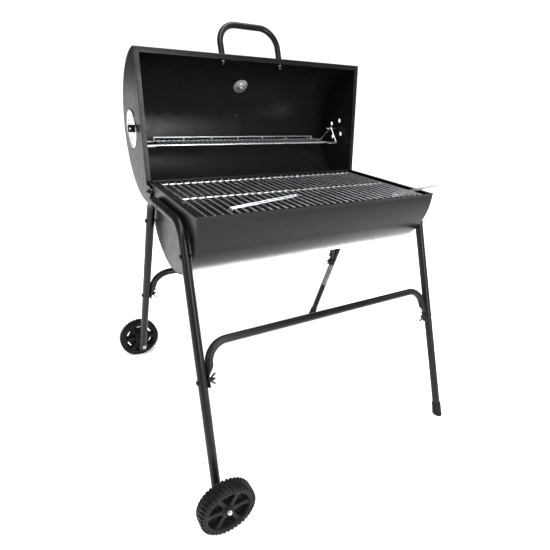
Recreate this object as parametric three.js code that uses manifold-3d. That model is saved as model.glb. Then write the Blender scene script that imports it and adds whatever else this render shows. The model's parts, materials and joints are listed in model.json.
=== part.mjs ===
// Barrel charcoal grill: a half-barrel bowl with a hinged half-barrel lid, on a tube stand with two wheels.
// Millimetres, +Z up, +X along the barrel, -Y towards the cook. The lid is modelled open.
import * as THREE from 'three';
import { mergeVertices } from 'three/addons/utils/BufferGeometryUtils.js';
import Module from 'manifold-3d';

const wasm = await Module();
wasm.setup();

// ---- Driving dimensions ----------------------------------------------------------------------------

const SHEET = 1.5;
const GAP = 0.3;

const BOWL_LENGTH = 784;
const BOWL_RADIUS = 204.5;
const RIM_HEIGHT = 752;
const RIM_BAND = 6;
const END_FLANGE = 12;
const HALF_ROUND_STEPS = 14;
const TUBE_SIDES = 8;
const BEND_STEPS = 5;

const LID_LENGTH = 798.5;
const LID_RADIUS = 215;
const LID_LIP = 15;
const LID_REAR_LIP = 10;
const LID_REST = 0.6;
const LID_OPEN_DEGREES = 95.7;
const HINGE_Y = 177;
const HINGE_BELOW_LID = 26;
const EAR_RADIUS = 16;
const LIP_NOTCH_Y = 150;
const HINGE_BOLT_RADIUS = 3;

const LEG_RADIUS = 12.5;
const TUBE_WALL = 1.2;
const LEG_TOP_Z = 717;
const LEG_TOP_X = BOWL_LENGTH / 2 + LEG_RADIUS + GAP;
const LEG_FOOT_X = 418.8;
const LEG_TOP_Y = 131.5;
const LEG_FOOT_Y = 396.3;
const LEG_BEND = 60;
const LEG_JOINT_Y = 60;
const LEG_INSERT = 30;
const LEG_BOLT_Z = 642;

const CROSSBAR_RADIUS = 11;
const CROSSBAR_Z = 430;
const CROSSBAR_END_Z = 324;
const CROSSBAR_BEND = 55;
const CROSSBAR_BOLT_Z = 341;
const CROSSBAR_BOLT_LENGTH = 48;
const PRESSED_THICKNESS = 7;
const PRESSED_FROM_Z = 376;
const PRESSED_BELOW_Z = 354;
const BOLT_RADIUS = 3;
const BOLT_HOLE = 3.4;

const CAP_TOP_Z = 42;
const CAP_RADIUS = 15.5;
const CAP_SOLE = 8;

const WHEEL_RADIUS = 75;
const WHEEL_WIDTH = 40;
const WHEEL_Y = 433.5;
const TYRE_DEPTH = 19;
const HUB_RADIUS = 15;
const SPOKE_COUNT = 6;
const WHEEL_SEGMENTS = 32;
const WEB_THICKNESS = 3;
const WEB_SLOT_RADIUS = 46;
const WEB_SLOT_LENGTH = 22;
const WEB_SLOT_WIDTH = 5;
const AXLE_RADIUS = 4;
const AXLE_HOLE = 4.6;
const AXLE_HEAD = 8.5;
const SPACER_RADIUS = 7.5;
const LEG_END_Z = 52;

const GRATE_WIRE = 2;
const GRATE_BAR = 2.5;
const GRATE_Z = 745;
const GRATE_WIRES = 33;
const GRATE_PITCH = 22.5;
const GRATE_HALF_DEPTH = 194;
const GRATE_BAR_Y = 186;
const WELD = 0.6;

const LIFTER_WIRE = 2;
const LIFTER_LENGTH = 198;
const LIFTER_HALF_WIDTH = 6;
const LIFTER_RISE = 18;
const LIFTER_HOOK_DEPTH = 13;
const LIFTERS = [
  { name: 'left_grate_lifter', x: -281.25, y: -150 },
  { name: 'right_grate_lifter', x: 258.75, y: -170 },
];

const COAL_GRATE_Z = 610;
const COAL_RODS = 13;
const COAL_PITCH = 22;
const COAL_HALF_LENGTH = 368;
const COAL_BAR_X = 340;
const COAL_HALF_DEPTH = 141;

const VENT_HEIGHT = 112;
const VENT_RADIUS = 57.5;
const VENT_THICKNESS = 1.2;
const VENT_HOLE = 7.3;
const VENT_HOLE_CIRCLE = 35.5;
const VENT_HOLE_DEGREES = 33;
const PIVOT_RADIUS = 3;
const PIVOT_REACH = 46;

const RACK_DROP = 46;
const RACK_FRONT = -48;
const RACK_REAR = 54;
const RACK_HALF_LENGTH = 371;
const RACK_WIRE = 1.6;
const RACK_ROD = 2.2;
const RACK_WIRES = 38;
const RACK_PITCH = 17.2;
const RACK_FENCE = 12;
const RACK_TOE = 31;

const HANDLE_RADIUS = 9.5;
const HANDLE_DEGREES = 17;
const HANDLE_SPREAD = 210;
const HANDLE_REACH = 124;
const HANDLE_BEND = 62;

const THERMOMETER_DEGREES = 48;
const THERMOMETER_RADIUS = 27;
const CENTRE_SCREW_DEGREES = 77;

// ---- Materials -------------------------------------------------------------------------------------

const paint = { color: 0x17181a, roughness: 0.42, metalness: 0.1 };
const chrome = { color: 0xc9ccd0, roughness: 0.18, metalness: 1 };
const zinc = { color: 0xa9adb2, roughness: 0.35, metalness: 1 };
const blackPlastic = { color: 0x101112, roughness: 0.6, metalness: 0 };
const rubber = { color: 0x0c0c0d, roughness: 0.85, metalness: 0 };
const dialWhite = { color: 0xe9e7e0, roughness: 0.5, metalness: 0 };
const needleRed = { color: 0xb3271e, roughness: 0.5, metalness: 0 };
const glass = { color: 0xdfe8ea, roughness: 0.05, metalness: 0, transparent: true, opacity: 0.35 };

// ---- Small tools -----------------------------------------------------------------------------------

const degrees = THREE.MathUtils.degToRad;
const point = (x, y, z) => new THREE.Vector3(x, y, z);

function solidOf(geometry) {
  const bare = geometry.clone();
  bare.deleteAttribute('normal');
  bare.deleteAttribute('uv');
  const merged = mergeVertices(bare, 1e-4);
  const corners = merged.index.array;
  const kept = [];
  for (let i = 0; i < corners.length; i += 3) {
    const [a, b, c] = corners.slice(i, i + 3);
    if (a !== b && b !== c && c !== a) {
      kept.push(a, b, c);
    }
  }
  const vertProperties = new Float32Array(merged.attributes.position.array);
  return new wasm.Manifold(new wasm.Mesh({ numProp: 3, vertProperties, triVerts: new Uint32Array(kept) }));
}

function geometryOf(solid) {
  const mesh = solid.getMesh();
  const geometry = new THREE.BufferGeometry();
  geometry.setAttribute('position', new THREE.BufferAttribute(new Float32Array(mesh.vertProperties), 3));
  geometry.setIndex(new THREE.BufferAttribute(new Uint32Array(mesh.triVerts), 1));
  geometry.computeVertexNormals();
  return geometry;
}

function join(geometries) {
  return geometryOf(geometries.map(solidOf).reduce((whole, piece) => whole.add(piece)));
}

function cut(geometry, tools) {
  return geometryOf(tools.map(solidOf).reduce((whole, tool) => whole.subtract(tool), solidOf(geometry)));
}

// A path with one tube ring at each of its stations, so straight stretches need no extra rings.
class StationPath extends THREE.Curve {
  constructor(stations) {
    super();
    this.stations = stations;
  }

  getPoint(t, target = new THREE.Vector3()) {
    const place = t * (this.stations.length - 1);
    const index = Math.min(Math.floor(place), this.stations.length - 2);
    return target.lerpVectors(this.stations[index], this.stations[index + 1], place - index);
  }

  getTangent(t, target = new THREE.Vector3()) {
    const last = this.stations.length - 1;
    const index = Math.round(t * last);
    const here = this.stations[index];
    target.set(0, 0, 0);
    if (index > 0) {
      target.add(here.clone().sub(this.stations[index - 1]).normalize());
    }
    if (index < last) {
      target.add(this.stations[index + 1].clone().sub(here).normalize());
    }
    return target.normalize();
  }

  getUtoTmapping(u) {
    return u;
  }
}

// The stations of a bend of the given radius that replaces the corner between two straight stretches.
function bend(before, corner, after, radius, steps) {
  const toBefore = before.clone().sub(corner).normalize();
  const toAfter = after.clone().sub(corner).normalize();
  const half = toBefore.angleTo(toAfter) / 2;
  const inward = toBefore.clone().add(toAfter).normalize();
  const centre = corner.clone().addScaledVector(inward, radius / Math.sin(half));
  const spoke = corner.clone().addScaledVector(toBefore, radius / Math.tan(half)).sub(centre);
  const axis = toAfter.clone().cross(toBefore).normalize();
  const stations = [];
  for (let i = 0; i <= steps; i += 1) {
    const turn = (Math.PI - 2 * half) * (i / steps);
    stations.push(spoke.clone().applyAxisAngle(axis, turn).add(centre));
  }
  return stations;
}

function polygon(radius, sides) {
  const corners = [];
  for (let i = 0; i < sides; i += 1) {
    const angle = (i / sides) * 2 * Math.PI;
    corners.push(new THREE.Vector2(radius * Math.cos(angle), radius * Math.sin(angle)));
  }
  return corners;
}

function rod(stations, radius, sides = TUBE_SIDES) {
  return new THREE.ExtrudeGeometry(new THREE.Shape(polygon(radius, sides)), {
    steps: stations.length - 1,
    bevelEnabled: false,
    extrudePath: new StationPath(stations),
  });
}

function hollowTube(stations, radius, wall) {
  const last = stations.length - 1;
  const startward = stations[0].clone().sub(stations[1]).normalize();
  const endward = stations[last].clone().sub(stations[last - 1]).normalize();
  const longer = stations.map((station) => station.clone());
  longer[0].add(startward);
  longer[last].add(endward);
  return cut(rod(stations, radius), [rod(longer, radius - wall)]);
}

// A flat outline in the YZ plane, thickened along X from x = from to x = to.
function platePiece(shape, from, to) {
  const geometry = new THREE.ExtrudeGeometry(shape, {
    depth: to - from,
    bevelEnabled: false,
    curveSegments: HALF_ROUND_STEPS,
  });
  geometry.applyMatrix4(new THREE.Matrix4().makeBasis(point(0, 1, 0), point(0, 0, 1), point(1, 0, 0)));
  return geometry.translate(from, 0, 0);
}

function box(low, high) {
  const size = high.clone().sub(low);
  const middle = low.clone().add(high).multiplyScalar(0.5);
  return new THREE.BoxGeometry(size.x, size.y, size.z).translate(middle.x, middle.y, middle.z);
}

function circleHole(y, z, radius, sides = 10) {
  return new THREE.Path(polygon(radius, sides).map((corner) => corner.add(new THREE.Vector2(y, z))));
}

// A turned piece about +X; the profile lists [distance along X, radius], starting and ending on the axis.
function turnedAlongX(profile, sides = 8) {
  const corners = profile.map(([along, radius]) => new THREE.Vector2(radius, along));
  const geometry = new THREE.LatheGeometry(corners, sides);
  geometry.rotateZ(-Math.PI / 2);
  return geometryOf(solidOf(geometry));
}

function addMesh(parent, name, geometry, look) {
  const mesh = new THREE.Mesh(geometry, new THREE.MeshStandardMaterial(look));
  mesh.name = name;
  parent.add(mesh);
  return mesh;
}

const sides = [{ word: 'left', x: -1 }, { word: 'right', x: 1 }];
const ends = [{ word: 'front', y: -1 }, { word: 'rear', y: 1 }];

// ---- Bowl ------------------------------------------------------------------------------------------

const bowlCentreZ = RIM_HEIGHT - RIM_BAND;
const bowlInside = BOWL_RADIUS - SHEET;
const hingeZ = RIM_HEIGHT + LID_REST - HINGE_BELOW_LID;

function halfBarrelOutline(radius, band) {
  const shape = new THREE.Shape();
  shape.moveTo(-radius, band);
  shape.lineTo(-radius, 0);
  shape.absarc(0, 0, radius, Math.PI, 2 * Math.PI, false);
  shape.lineTo(radius, band);
  return shape;
}

function halfBarrelWall(outer, inner, band) {
  const shape = halfBarrelOutline(outer, band);
  shape.lineTo(inner, band);
  shape.lineTo(inner, 0);
  shape.absarc(0, 0, inner, 2 * Math.PI, Math.PI, true);
  shape.lineTo(-inner, band);
  return shape;
}

function bowlShell() {
  const shape = halfBarrelWall(BOWL_RADIUS, bowlInside, RIM_BAND);
  return platePiece(shape, -BOWL_LENGTH / 2, BOWL_LENGTH / 2);
}

function bowlEnd(side) {
  const radius = bowlInside - GAP;
  const outline = halfBarrelOutline(radius, RIM_BAND);
  for (const end of ends) {
    outline.holes.push(circleHole(end.y * legY(LEG_BOLT_Z), LEG_BOLT_Z - bowlCentreZ, BOLT_HOLE));
  }
  outline.holes.push(circleHole(HINGE_Y, hingeZ - bowlCentreZ, BOLT_HOLE));
  const face = BOWL_LENGTH / 2;
  const plate = platePiece(outline, face - SHEET, face);
  const flange = halfBarrelOutline(radius, RIM_BAND);
  flange.holes.push(new THREE.Path(halfBarrelOutline(radius - SHEET, RIM_BAND - SHEET).getPoints(HALF_ROUND_STEPS)));
  const ring = platePiece(flange, face - END_FLANGE, face - SHEET / 2);
  const geometry = join([plate, ring]);
  if (side.x < 0) {
    geometry.rotateZ(Math.PI);
    geometry.scale(1, -1, 1);
    flipFaces(geometry);
  }
  return geometry;
}

// Mirroring turns a surface inside out; swapping two corners of each triangle puts it right.
function flipFaces(geometry) {
  const corners = geometry.index.array;
  for (let i = 0; i < corners.length; i += 3) {
    [corners[i], corners[i + 1]] = [corners[i + 1], corners[i]];
  }
  geometry.computeVertexNormals();
}

function grateRail(side) {
  const wall = BOWL_LENGTH / 2 - SHEET - GAP;
  const top = GRATE_Z - GRATE_WIRE - 2 * GRATE_BAR + WELD - GAP;
  const shape = new THREE.Shape([
    new THREE.Vector2(wall, top),
    new THREE.Vector2(wall - 40, top),
    new THREE.Vector2(wall - 40, top - SHEET),
    new THREE.Vector2(wall - SHEET, top - SHEET),
    new THREE.Vector2(wall - SHEET, top - 16),
    new THREE.Vector2(wall, top - 16),
  ]);
  const geometry = new THREE.ExtrudeGeometry(shape, { depth: 300, bevelEnabled: false });
  geometry.rotateX(Math.PI / 2);
  geometry.translate(0, 150, 0);
  if (side.x < 0) {
    geometry.rotateZ(Math.PI);
  }
  return geometry;
}

// ---- Grates ----------------------------------------------------------------------------------------

function cookingGrate() {
  const wires = [];
  for (let i = 0; i < GRATE_WIRES; i += 1) {
    const x = (i - (GRATE_WIRES - 1) / 2) * GRATE_PITCH;
    wires.push(rod([point(x, -GRATE_HALF_DEPTH, 0), point(x, GRATE_HALF_DEPTH, 0)], GRATE_WIRE, 4));
  }
  const reach = ((GRATE_WIRES - 1) / 2) * GRATE_PITCH + 2;
  const barZ = -GRATE_WIRE - GRATE_BAR + WELD;
  const bars = [-GRATE_BAR_Y, 0, GRATE_BAR_Y].map(
    (y) => rod([point(-reach, y, barZ), point(reach, y, barZ)], GRATE_BAR, 4),
  );
  return join([...bars, ...wires]);
}

// A narrow wire loop: two prongs hooked down between the grate's wires, rising to a round grip end.
function grateLifter() {
  const low = GRATE_WIRE + LIFTER_WIRE + GAP;
  const high = low + LIFTER_RISE;
  const tip = LIFTER_LENGTH - LIFTER_HALF_WIDTH;
  const near = point(0, -LIFTER_HALF_WIDTH, low);
  const far = point(0, LIFTER_HALF_WIDTH, low);
  const stations = [point(0, -LIFTER_HALF_WIDTH, low - LIFTER_HOOK_DEPTH), near];
  for (let i = 0; i <= 6; i += 1) {
    const angle = -Math.PI / 2 + (i / 6) * Math.PI;
    const x = tip + LIFTER_HALF_WIDTH * Math.cos(angle);
    stations.push(point(x, LIFTER_HALF_WIDTH * Math.sin(angle), high));
  }
  stations.push(far, point(0, LIFTER_HALF_WIDTH, low - LIFTER_HOOK_DEPTH));
  return rod(stations, LIFTER_WIRE, 6);
}

function charcoalGrate() {
  const pieces = [];
  for (const x of [-COAL_BAR_X, 0, COAL_BAR_X]) {
    const start = point(x, -COAL_HALF_DEPTH, -4);
    const stop = point(x, COAL_HALF_DEPTH, -4);
    pieces.push(rod([start, stop], GRATE_BAR, 4));
  }
  for (let i = 0; i < COAL_RODS; i += 1) {
    const y = (i - (COAL_RODS - 1) / 2) * COAL_PITCH;
    pieces.push(rod([point(-COAL_HALF_LENGTH, y, 0), point(COAL_HALF_LENGTH, y, 0)], GRATE_BAR, 4));
  }
  return join(pieces);
}

// ---- Stand -----------------------------------------------------------------------------------------

function legX(z) {
  return LEG_TOP_X + ((LEG_FOOT_X - LEG_TOP_X) * (LEG_TOP_Z - z)) / LEG_TOP_Z;
}

function legY(z) {
  return LEG_TOP_Y + ((LEG_FOOT_Y - LEG_TOP_Y) * (LEG_TOP_Z - z)) / LEG_TOP_Z;
}

function legStations(side, end, jointY, footZ) {
  const joint = point(side.x * LEG_TOP_X, jointY, LEG_TOP_Z);
  const corner = point(side.x * LEG_TOP_X, end.y * LEG_TOP_Y, LEG_TOP_Z);
  const foot = point(side.x * legX(footZ), end.y * legY(footZ), footZ);
  return [joint, ...bend(joint, corner, foot, LEG_BEND, BEND_STEPS), foot];
}

function crossHole(side, y, z, radius) {
  const x = side.x * legX(z);
  return rod([point(x - 60, y, z), point(x + 60, y, z)], radius);
}

function leg(side, end) {
  const footZ = side.x < 0 ? LEG_END_Z : CAP_SOLE;
  const jointY = end.y < 0 ? LEG_JOINT_Y - GAP : LEG_JOINT_Y;
  let geometry = hollowTube(legStations(side, end, jointY, footZ), LEG_RADIUS, TUBE_WALL);
  if (end.y > 0) {
    const shoulder = [point(side.x * LEG_TOP_X, jointY + 6, LEG_TOP_Z), point(side.x * LEG_TOP_X, jointY, LEG_TOP_Z)];
    const insert = [shoulder[0], point(side.x * LEG_TOP_X, jointY - LEG_INSERT, LEG_TOP_Z)];
    const insertRadius = LEG_RADIUS - TUBE_WALL - GAP;
    geometry = join([geometry, rod(shoulder, LEG_RADIUS - 0.1), rod(insert, insertRadius)]);
    const bore = [point(side.x * LEG_TOP_X, jointY + 7, LEG_TOP_Z), point(side.x * LEG_TOP_X, 0, LEG_TOP_Z)];
    geometry = cut(geometry, [rod(bore, insertRadius - TUBE_WALL)]);
  }
  const holes = [LEG_BOLT_Z, CROSSBAR_BOLT_Z].map((z) => crossHole(side, end.y * legY(z), z, BOLT_HOLE));
  if (side.x < 0) {
    const x = side.x * legX(WHEEL_RADIUS);
    const y = end.y * legY(WHEEL_RADIUS);
    holes.push(rod([point(x, y - 40, WHEEL_RADIUS), point(x, y + 40, WHEEL_RADIUS)], AXLE_HOLE, 12));
  }
  return cut(geometry, holes);
}

function crossbarX(z) {
  return legX(z) - LEG_RADIUS - CROSSBAR_RADIUS - GAP;
}

// The crossbar's ends are pressed flat against the legs, where the bolts go through.
function pressEnds(geometry) {
  const places = geometry.attributes.position;
  const least = PRESSED_THICKNESS / (2 * CROSSBAR_RADIUS);
  for (let i = 0; i < places.count; i += 1) {
    const z = places.getZ(i);
    const share = THREE.MathUtils.smoothstep(z, PRESSED_BELOW_Z, PRESSED_FROM_Z);
    const against = legX(z) - LEG_RADIUS - GAP;
    const depth = (against - Math.abs(places.getX(i))) * THREE.MathUtils.lerp(least, 1, share);
    places.setX(i, Math.sign(places.getX(i)) * (against - depth));
  }
  return geometry;
}

function crossbar(end) {
  const along = (side, z) => point(side.x * crossbarX(z), end.y * legY(z), z);
  const corners = sides.map((side) => along(side, CROSSBAR_Z));
  const feet = sides.map((side) => along(side, CROSSBAR_END_Z));
  const stations = [
    feet[0],
    along(sides[0], PRESSED_BELOW_Z),
    ...bend(feet[0], corners[0], corners[1], CROSSBAR_BEND, BEND_STEPS),
    ...bend(corners[0], corners[1], feet[1], CROSSBAR_BEND, BEND_STEPS),
    along(sides[1], PRESSED_BELOW_Z),
    feet[1],
  ];
  const tube = pressEnds(hollowTube(stations, CROSSBAR_RADIUS, TUBE_WALL));
  return cut(tube, sides.map((side) => crossHole(side, end.y * legY(CROSSBAR_BOLT_Z), CROSSBAR_BOLT_Z, BOLT_HOLE)));
}

function footCap(side, end) {
  const along = (z) => point(side.x * legX(z), end.y * legY(z), z);
  const outer = rod([along(-20), along(CAP_TOP_Z)], CAP_RADIUS, 16);
  const socket = rod([along(CAP_SOLE - 1), along(CAP_TOP_Z + 10)], LEG_RADIUS + GAP, 16);
  const below = box(point(-600, -600, -100), point(600, 600, 0));
  return cut(outer, [socket, below]);
}

// A bolt along +X: a round head outside the work, a shank, and a hexagonal nut or no nut at its tip.
function bolt(headRadius, headHeight, shankRadius, shankLength, nutFrom) {
  const profile = [[headHeight, 0], [headHeight, headRadius * 0.75], [headHeight * 0.45, headRadius], [0, headRadius]];
  profile.push([0, shankRadius]);
  if (nutFrom > 0) {
    profile.push([-nutFrom, shankRadius], [-nutFrom, headRadius], [-nutFrom - 5, headRadius]);
    profile.push([-nutFrom - 5, shankRadius]);
  }
  profile.push([-shankLength, shankRadius], [-shankLength, 0]);
  return turnedAlongX(profile.reverse());
}

// A wing nut about +X, opening towards -X, with its bore left clear for the bolt.
function wingNut() {
  const boss = rod([point(-9, 0, 0), point(0, 0, 0)], 6.5);
  const wings = [-1, 1].map((way) => {
    const tip = point(-11, 0, way * 15);
    return rod([point(-5, 0, way * 4), tip, point(-16, 0, way * 17)], 2.6, 4);
  });
  const bore = rod([point(-12, 0, 0), point(2, 0, 0)], BOLT_HOLE);
  return cut(join([boss, ...wings]), [bore]);
}

function addStand(parent) {
  for (const side of sides) {
    for (const end of ends) {
      addMesh(parent, `${side.word}_${end.word}_leg`, leg(side, end), paint);
    }
  }
  for (const end of ends) {
    addMesh(parent, `${end.word}_crossbar`, crossbar(end), paint);
  }
  for (const side of sides) {
    for (const end of ends) {
      const place = `${side.word}_${end.word}`;
      const legBolt = bolt(6.5, 4, BOLT_RADIUS, 42, legX(LEG_BOLT_Z) + LEG_RADIUS - BOWL_LENGTH / 2 + SHEET + 2 * GAP);
      const upper = addMesh(parent, `${place}_leg_bolt`, legBolt, paint);
      upper.position.set(side.x * (legX(LEG_BOLT_Z) + LEG_RADIUS + GAP), end.y * legY(LEG_BOLT_Z), LEG_BOLT_Z);
      upper.rotation.z = side.x < 0 ? Math.PI : 0;
      const lower = addMesh(parent, `${place}_crossbar_bolt`, bolt(6.5, 4, BOLT_RADIUS, CROSSBAR_BOLT_LENGTH, 0), paint);
      const lowerX = legX(CROSSBAR_BOLT_Z) + LEG_RADIUS + GAP;
      lower.position.set(side.x * lowerX, end.y * legY(CROSSBAR_BOLT_Z), CROSSBAR_BOLT_Z);
      lower.rotation.z = side.x < 0 ? Math.PI : 0;
      const nut = addMesh(parent, `${place}_wing_nut`, wingNut(), paint);
      const nutX = legX(CROSSBAR_BOLT_Z) - LEG_RADIUS - 2 * GAP - PRESSED_THICKNESS;
      nut.position.set(side.x * nutX, end.y * legY(CROSSBAR_BOLT_Z), CROSSBAR_BOLT_Z);
      nut.rotation.z = side.x < 0 ? Math.PI : 0;
    }
  }
  for (const end of ends) {
    addMesh(parent, `right_${end.word}_foot_cap`, footCap(sides[1], end), rubber);
  }
}

// ---- Wheels ----------------------------------------------------------------------------------------

// The wheel turns about its own Y axis. A thin web with one slot in each pocket closes it between its spokes.
function wheel() {
  const half = WHEEL_WIDTH / 2;
  const inside = WHEEL_RADIUS - TYRE_DEPTH;
  const tyre = new THREE.LatheGeometry(
    [[inside, -half + 3], [inside + 3, -half], [WHEEL_RADIUS - 4, -half], [WHEEL_RADIUS, -half + 4],
      [WHEEL_RADIUS, half - 4], [WHEEL_RADIUS - 4, half], [inside + 3, half], [inside, half - 3],
      [inside, -half + 3]].map(([radius, along]) => new THREE.Vector2(radius, along)),
    WHEEL_SEGMENTS,
  );
  const pieces = [tyre, new THREE.CylinderGeometry(HUB_RADIUS, HUB_RADIUS, WHEEL_WIDTH, 16)];
  pieces.push(new THREE.CylinderGeometry(inside + 2, inside + 2, WEB_THICKNESS, WHEEL_SEGMENTS));
  const spokeReach = inside + 2;
  for (let i = 0; i < SPOKE_COUNT; i += 1) {
    const spoke = new THREE.BoxGeometry(spokeReach, WHEEL_WIDTH * 0.6, 12).translate(spokeReach / 2, 0, 0);
    spoke.rotateY((i / SPOKE_COUNT) * 2 * Math.PI);
    pieces.push(spoke);
  }
  const bore = new THREE.CylinderGeometry(AXLE_HOLE, AXLE_HOLE, WHEEL_WIDTH + 10, 12);
  const slots = [];
  for (let i = 0; i < SPOKE_COUNT; i += 1) {
    const slot = new THREE.BoxGeometry(WEB_SLOT_WIDTH, WEB_THICKNESS + 2, WEB_SLOT_LENGTH);
    slots.push(slot.translate(WEB_SLOT_RADIUS, 0, 0).rotateY(((i + 0.5) / SPOKE_COUNT) * 2 * Math.PI));
  }
  return cut(join(pieces), [bore, ...slots]);
}

function addWheels(parent) {
  const innerFace = WHEEL_Y - WHEEL_WIDTH / 2;
  const splay = Math.atan2(LEG_FOOT_Y - LEG_TOP_Y, LEG_TOP_Z);
  const clearOfLeg = (radius) => LEG_RADIUS / Math.cos(splay) + radius * Math.tan(splay) + GAP;
  const spacerFrom = legY(WHEEL_RADIUS) + clearOfLeg(SPACER_RADIUS);
  const spacerLength = innerFace - GAP - spacerFrom;
  const x = -legX(WHEEL_RADIUS);
  for (const end of ends) {
    const turning = addMesh(parent, `${end.word}_wheel`, wheel(), blackPlastic);
    turning.position.set(x, end.y * WHEEL_Y, WHEEL_RADIUS);
    const outerFace = WHEEL_Y + WHEEL_WIDTH / 2 + GAP;
    const nutFrom = outerFace - legY(WHEEL_RADIUS) + clearOfLeg(AXLE_HEAD);
    const pin = bolt(AXLE_HEAD, 5, AXLE_RADIUS, nutFrom + 9, nutFrom);
    const axle = addMesh(parent, `${end.word}_axle_bolt`, pin, zinc);
    axle.position.set(x, end.y * outerFace, WHEEL_RADIUS);
    axle.rotation.z = end.y * (Math.PI / 2);
    const sleeve = hollowTube([point(0, 0, 0), point(0, spacerLength, 0)], SPACER_RADIUS, SPACER_RADIUS - AXLE_HOLE);
    const spacer = addMesh(parent, `${end.word}_axle_spacer`, sleeve, zinc);
    const spacerY = end.y < 0 ? -spacerFrom - spacerLength : spacerFrom;
    spacer.position.set(x, spacerY, WHEEL_RADIUS);
  }
}

// ---- Lid, in its closed place: Y across, Z up from the hinge axis ------------------------------------

const lidPlane = HINGE_BELOW_LID;
const lidMiddle = -HINGE_Y;
const lidInside = LID_RADIUS - SHEET;

function lidShell() {
  const lipTop = SHEET;
  const shape = new THREE.Shape();
  shape.moveTo(LID_RADIUS, 0);
  shape.absarc(0, 0, LID_RADIUS, 0, Math.PI, false);
  shape.lineTo(-LID_RADIUS + LID_LIP, 0);
  shape.lineTo(-LID_RADIUS + LID_LIP, lipTop);
  shape.lineTo(-lidInside, lipTop);
  shape.absarc(0, 0, lidInside, Math.PI - lipTop / lidInside, lipTop / lidInside, true);
  shape.lineTo(LID_RADIUS - LID_REAR_LIP, lipTop);
  shape.lineTo(LID_RADIUS - LID_REAR_LIP, 0);
  const shell = platePiece(shape, -LID_LENGTH / 2, LID_LENGTH / 2);
  const endClearance = LID_LENGTH / 2 - LID_LIP;
  const trims = [];
  for (const side of sides) {
    for (const way of [-1, 1]) {
      const xs = [side.x * endClearance, side.x * (LID_LENGTH / 2 + 1)].sort((a, b) => a - b);
      const ys = [way * (LID_RADIUS - LID_LIP - 1), way * (lidInside - GAP)].sort((a, b) => a - b);
      trims.push(box(point(xs[0], ys[0], -1), point(xs[1], ys[1], lipTop + 1)));
    }
  }
  const stem = new THREE.CylinderGeometry(5, 5, 40, 12).translate(0, LID_RADIUS, 0);
  const screw = new THREE.CylinderGeometry(2.4, 2.4, 40, 12).translate(0, LID_RADIUS, 0);
  const holes = [aroundLid(stem, 0, THERMOMETER_DEGREES), aroundLid(screw, 0, CENTRE_SCREW_DEGREES)];
  for (const side of sides) {
    const bolthole = new THREE.CylinderGeometry(2.8, 2.8, 40, 12).translate(0, LID_RADIUS, 0);
    holes.push(aroundLid(bolthole, (side.x * HANDLE_SPREAD) / 2, HANDLE_DEGREES));
  }
  return cut(shell, [...trims, ...holes]);
}

// Turns a piece made round the lid's +Y radius to its place, counted in degrees from the front edge.
function aroundLid(geometry, x, fromFront) {
  geometry.rotateX(Math.PI - degrees(fromFront));
  return geometry.translate(x, 0, 0);
}

function lidEnd(side) {
  const radius = lidInside - GAP;
  const shape = new THREE.Shape();
  const ear = HINGE_Y;
  shape.moveTo(radius, 0);
  shape.absarc(0, 0, radius, 0, Math.PI, false);
  shape.lineTo(ear - EAR_RADIUS, 0);
  shape.lineTo(ear - EAR_RADIUS, -HINGE_BELOW_LID);
  shape.absarc(ear, -HINGE_BELOW_LID, EAR_RADIUS, Math.PI, 2 * Math.PI, false);
  shape.lineTo(ear + EAR_RADIUS, 0);
  shape.holes.push(circleHole(ear, -HINGE_BELOW_LID, BOLT_HOLE));
  shape.holes.push(circleHole(0, VENT_HEIGHT, PIVOT_RADIUS + GAP));
  for (let i = 0; i < 4; i += 1) {
    const angle = degrees(VENT_HOLE_DEGREES + 90 * i);
    const y = VENT_HOLE_CIRCLE * Math.cos(angle);
    shape.holes.push(circleHole(y, VENT_HEIGHT + VENT_HOLE_CIRCLE * Math.sin(angle), VENT_HOLE));
  }
  const face = LID_LENGTH / 2;
  const plate = platePiece(shape, face - SHEET, face);
  const lip = box(point(face - LID_LIP, -radius + 1, 0), point(face - SHEET / 2, LIP_NOTCH_Y, SHEET));
  const geometry = join([plate, lip]);
  if (side.x < 0) {
    geometry.scale(-1, 1, 1);
    flipFaces(geometry);
  }
  return geometry;
}

// A handle of bent tube; its legs stand along +Y from the lid's surface.
function lidHandle() {
  const half = HANDLE_SPREAD / 2;
  const foot = LID_RADIUS + 0.5;
  const top = LID_RADIUS + HANDLE_REACH - HANDLE_RADIUS;
  const corners = [point(-half, top, 0), point(half, top, 0)];
  const feet = [point(-half, foot, 0), point(half, foot, 0)];
  const stations = [
    feet[0],
    ...bend(feet[0], corners[0], corners[1], HANDLE_BEND, BEND_STEPS),
    ...bend(corners[0], corners[1], feet[1], HANDLE_BEND, BEND_STEPS),
    feet[1],
  ];
  return hollowTube(stations, HANDLE_RADIUS, TUBE_WALL);
}

// A screw along +Y through the lid's sheet, with its head inside or outside the lid.
function lidScrew(headInside, shankRadius, reach) {
  const screw = bolt(shankRadius * 2.1, 3, shankRadius, reach, 0);
  screw.rotateZ(headInside ? -Math.PI / 2 : Math.PI / 2);
  const seat = headInside ? lidInside - 0.6 : LID_RADIUS + 0.6;
  return screw.translate(0, seat, 0);
}

function turnedAlongY(profile, segments = 20) {
  const corners = profile.map(([radius, along]) => new THREE.Vector2(radius, along));
  return geometryOf(solidOf(new THREE.LatheGeometry(corners, segments)));
}

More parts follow.
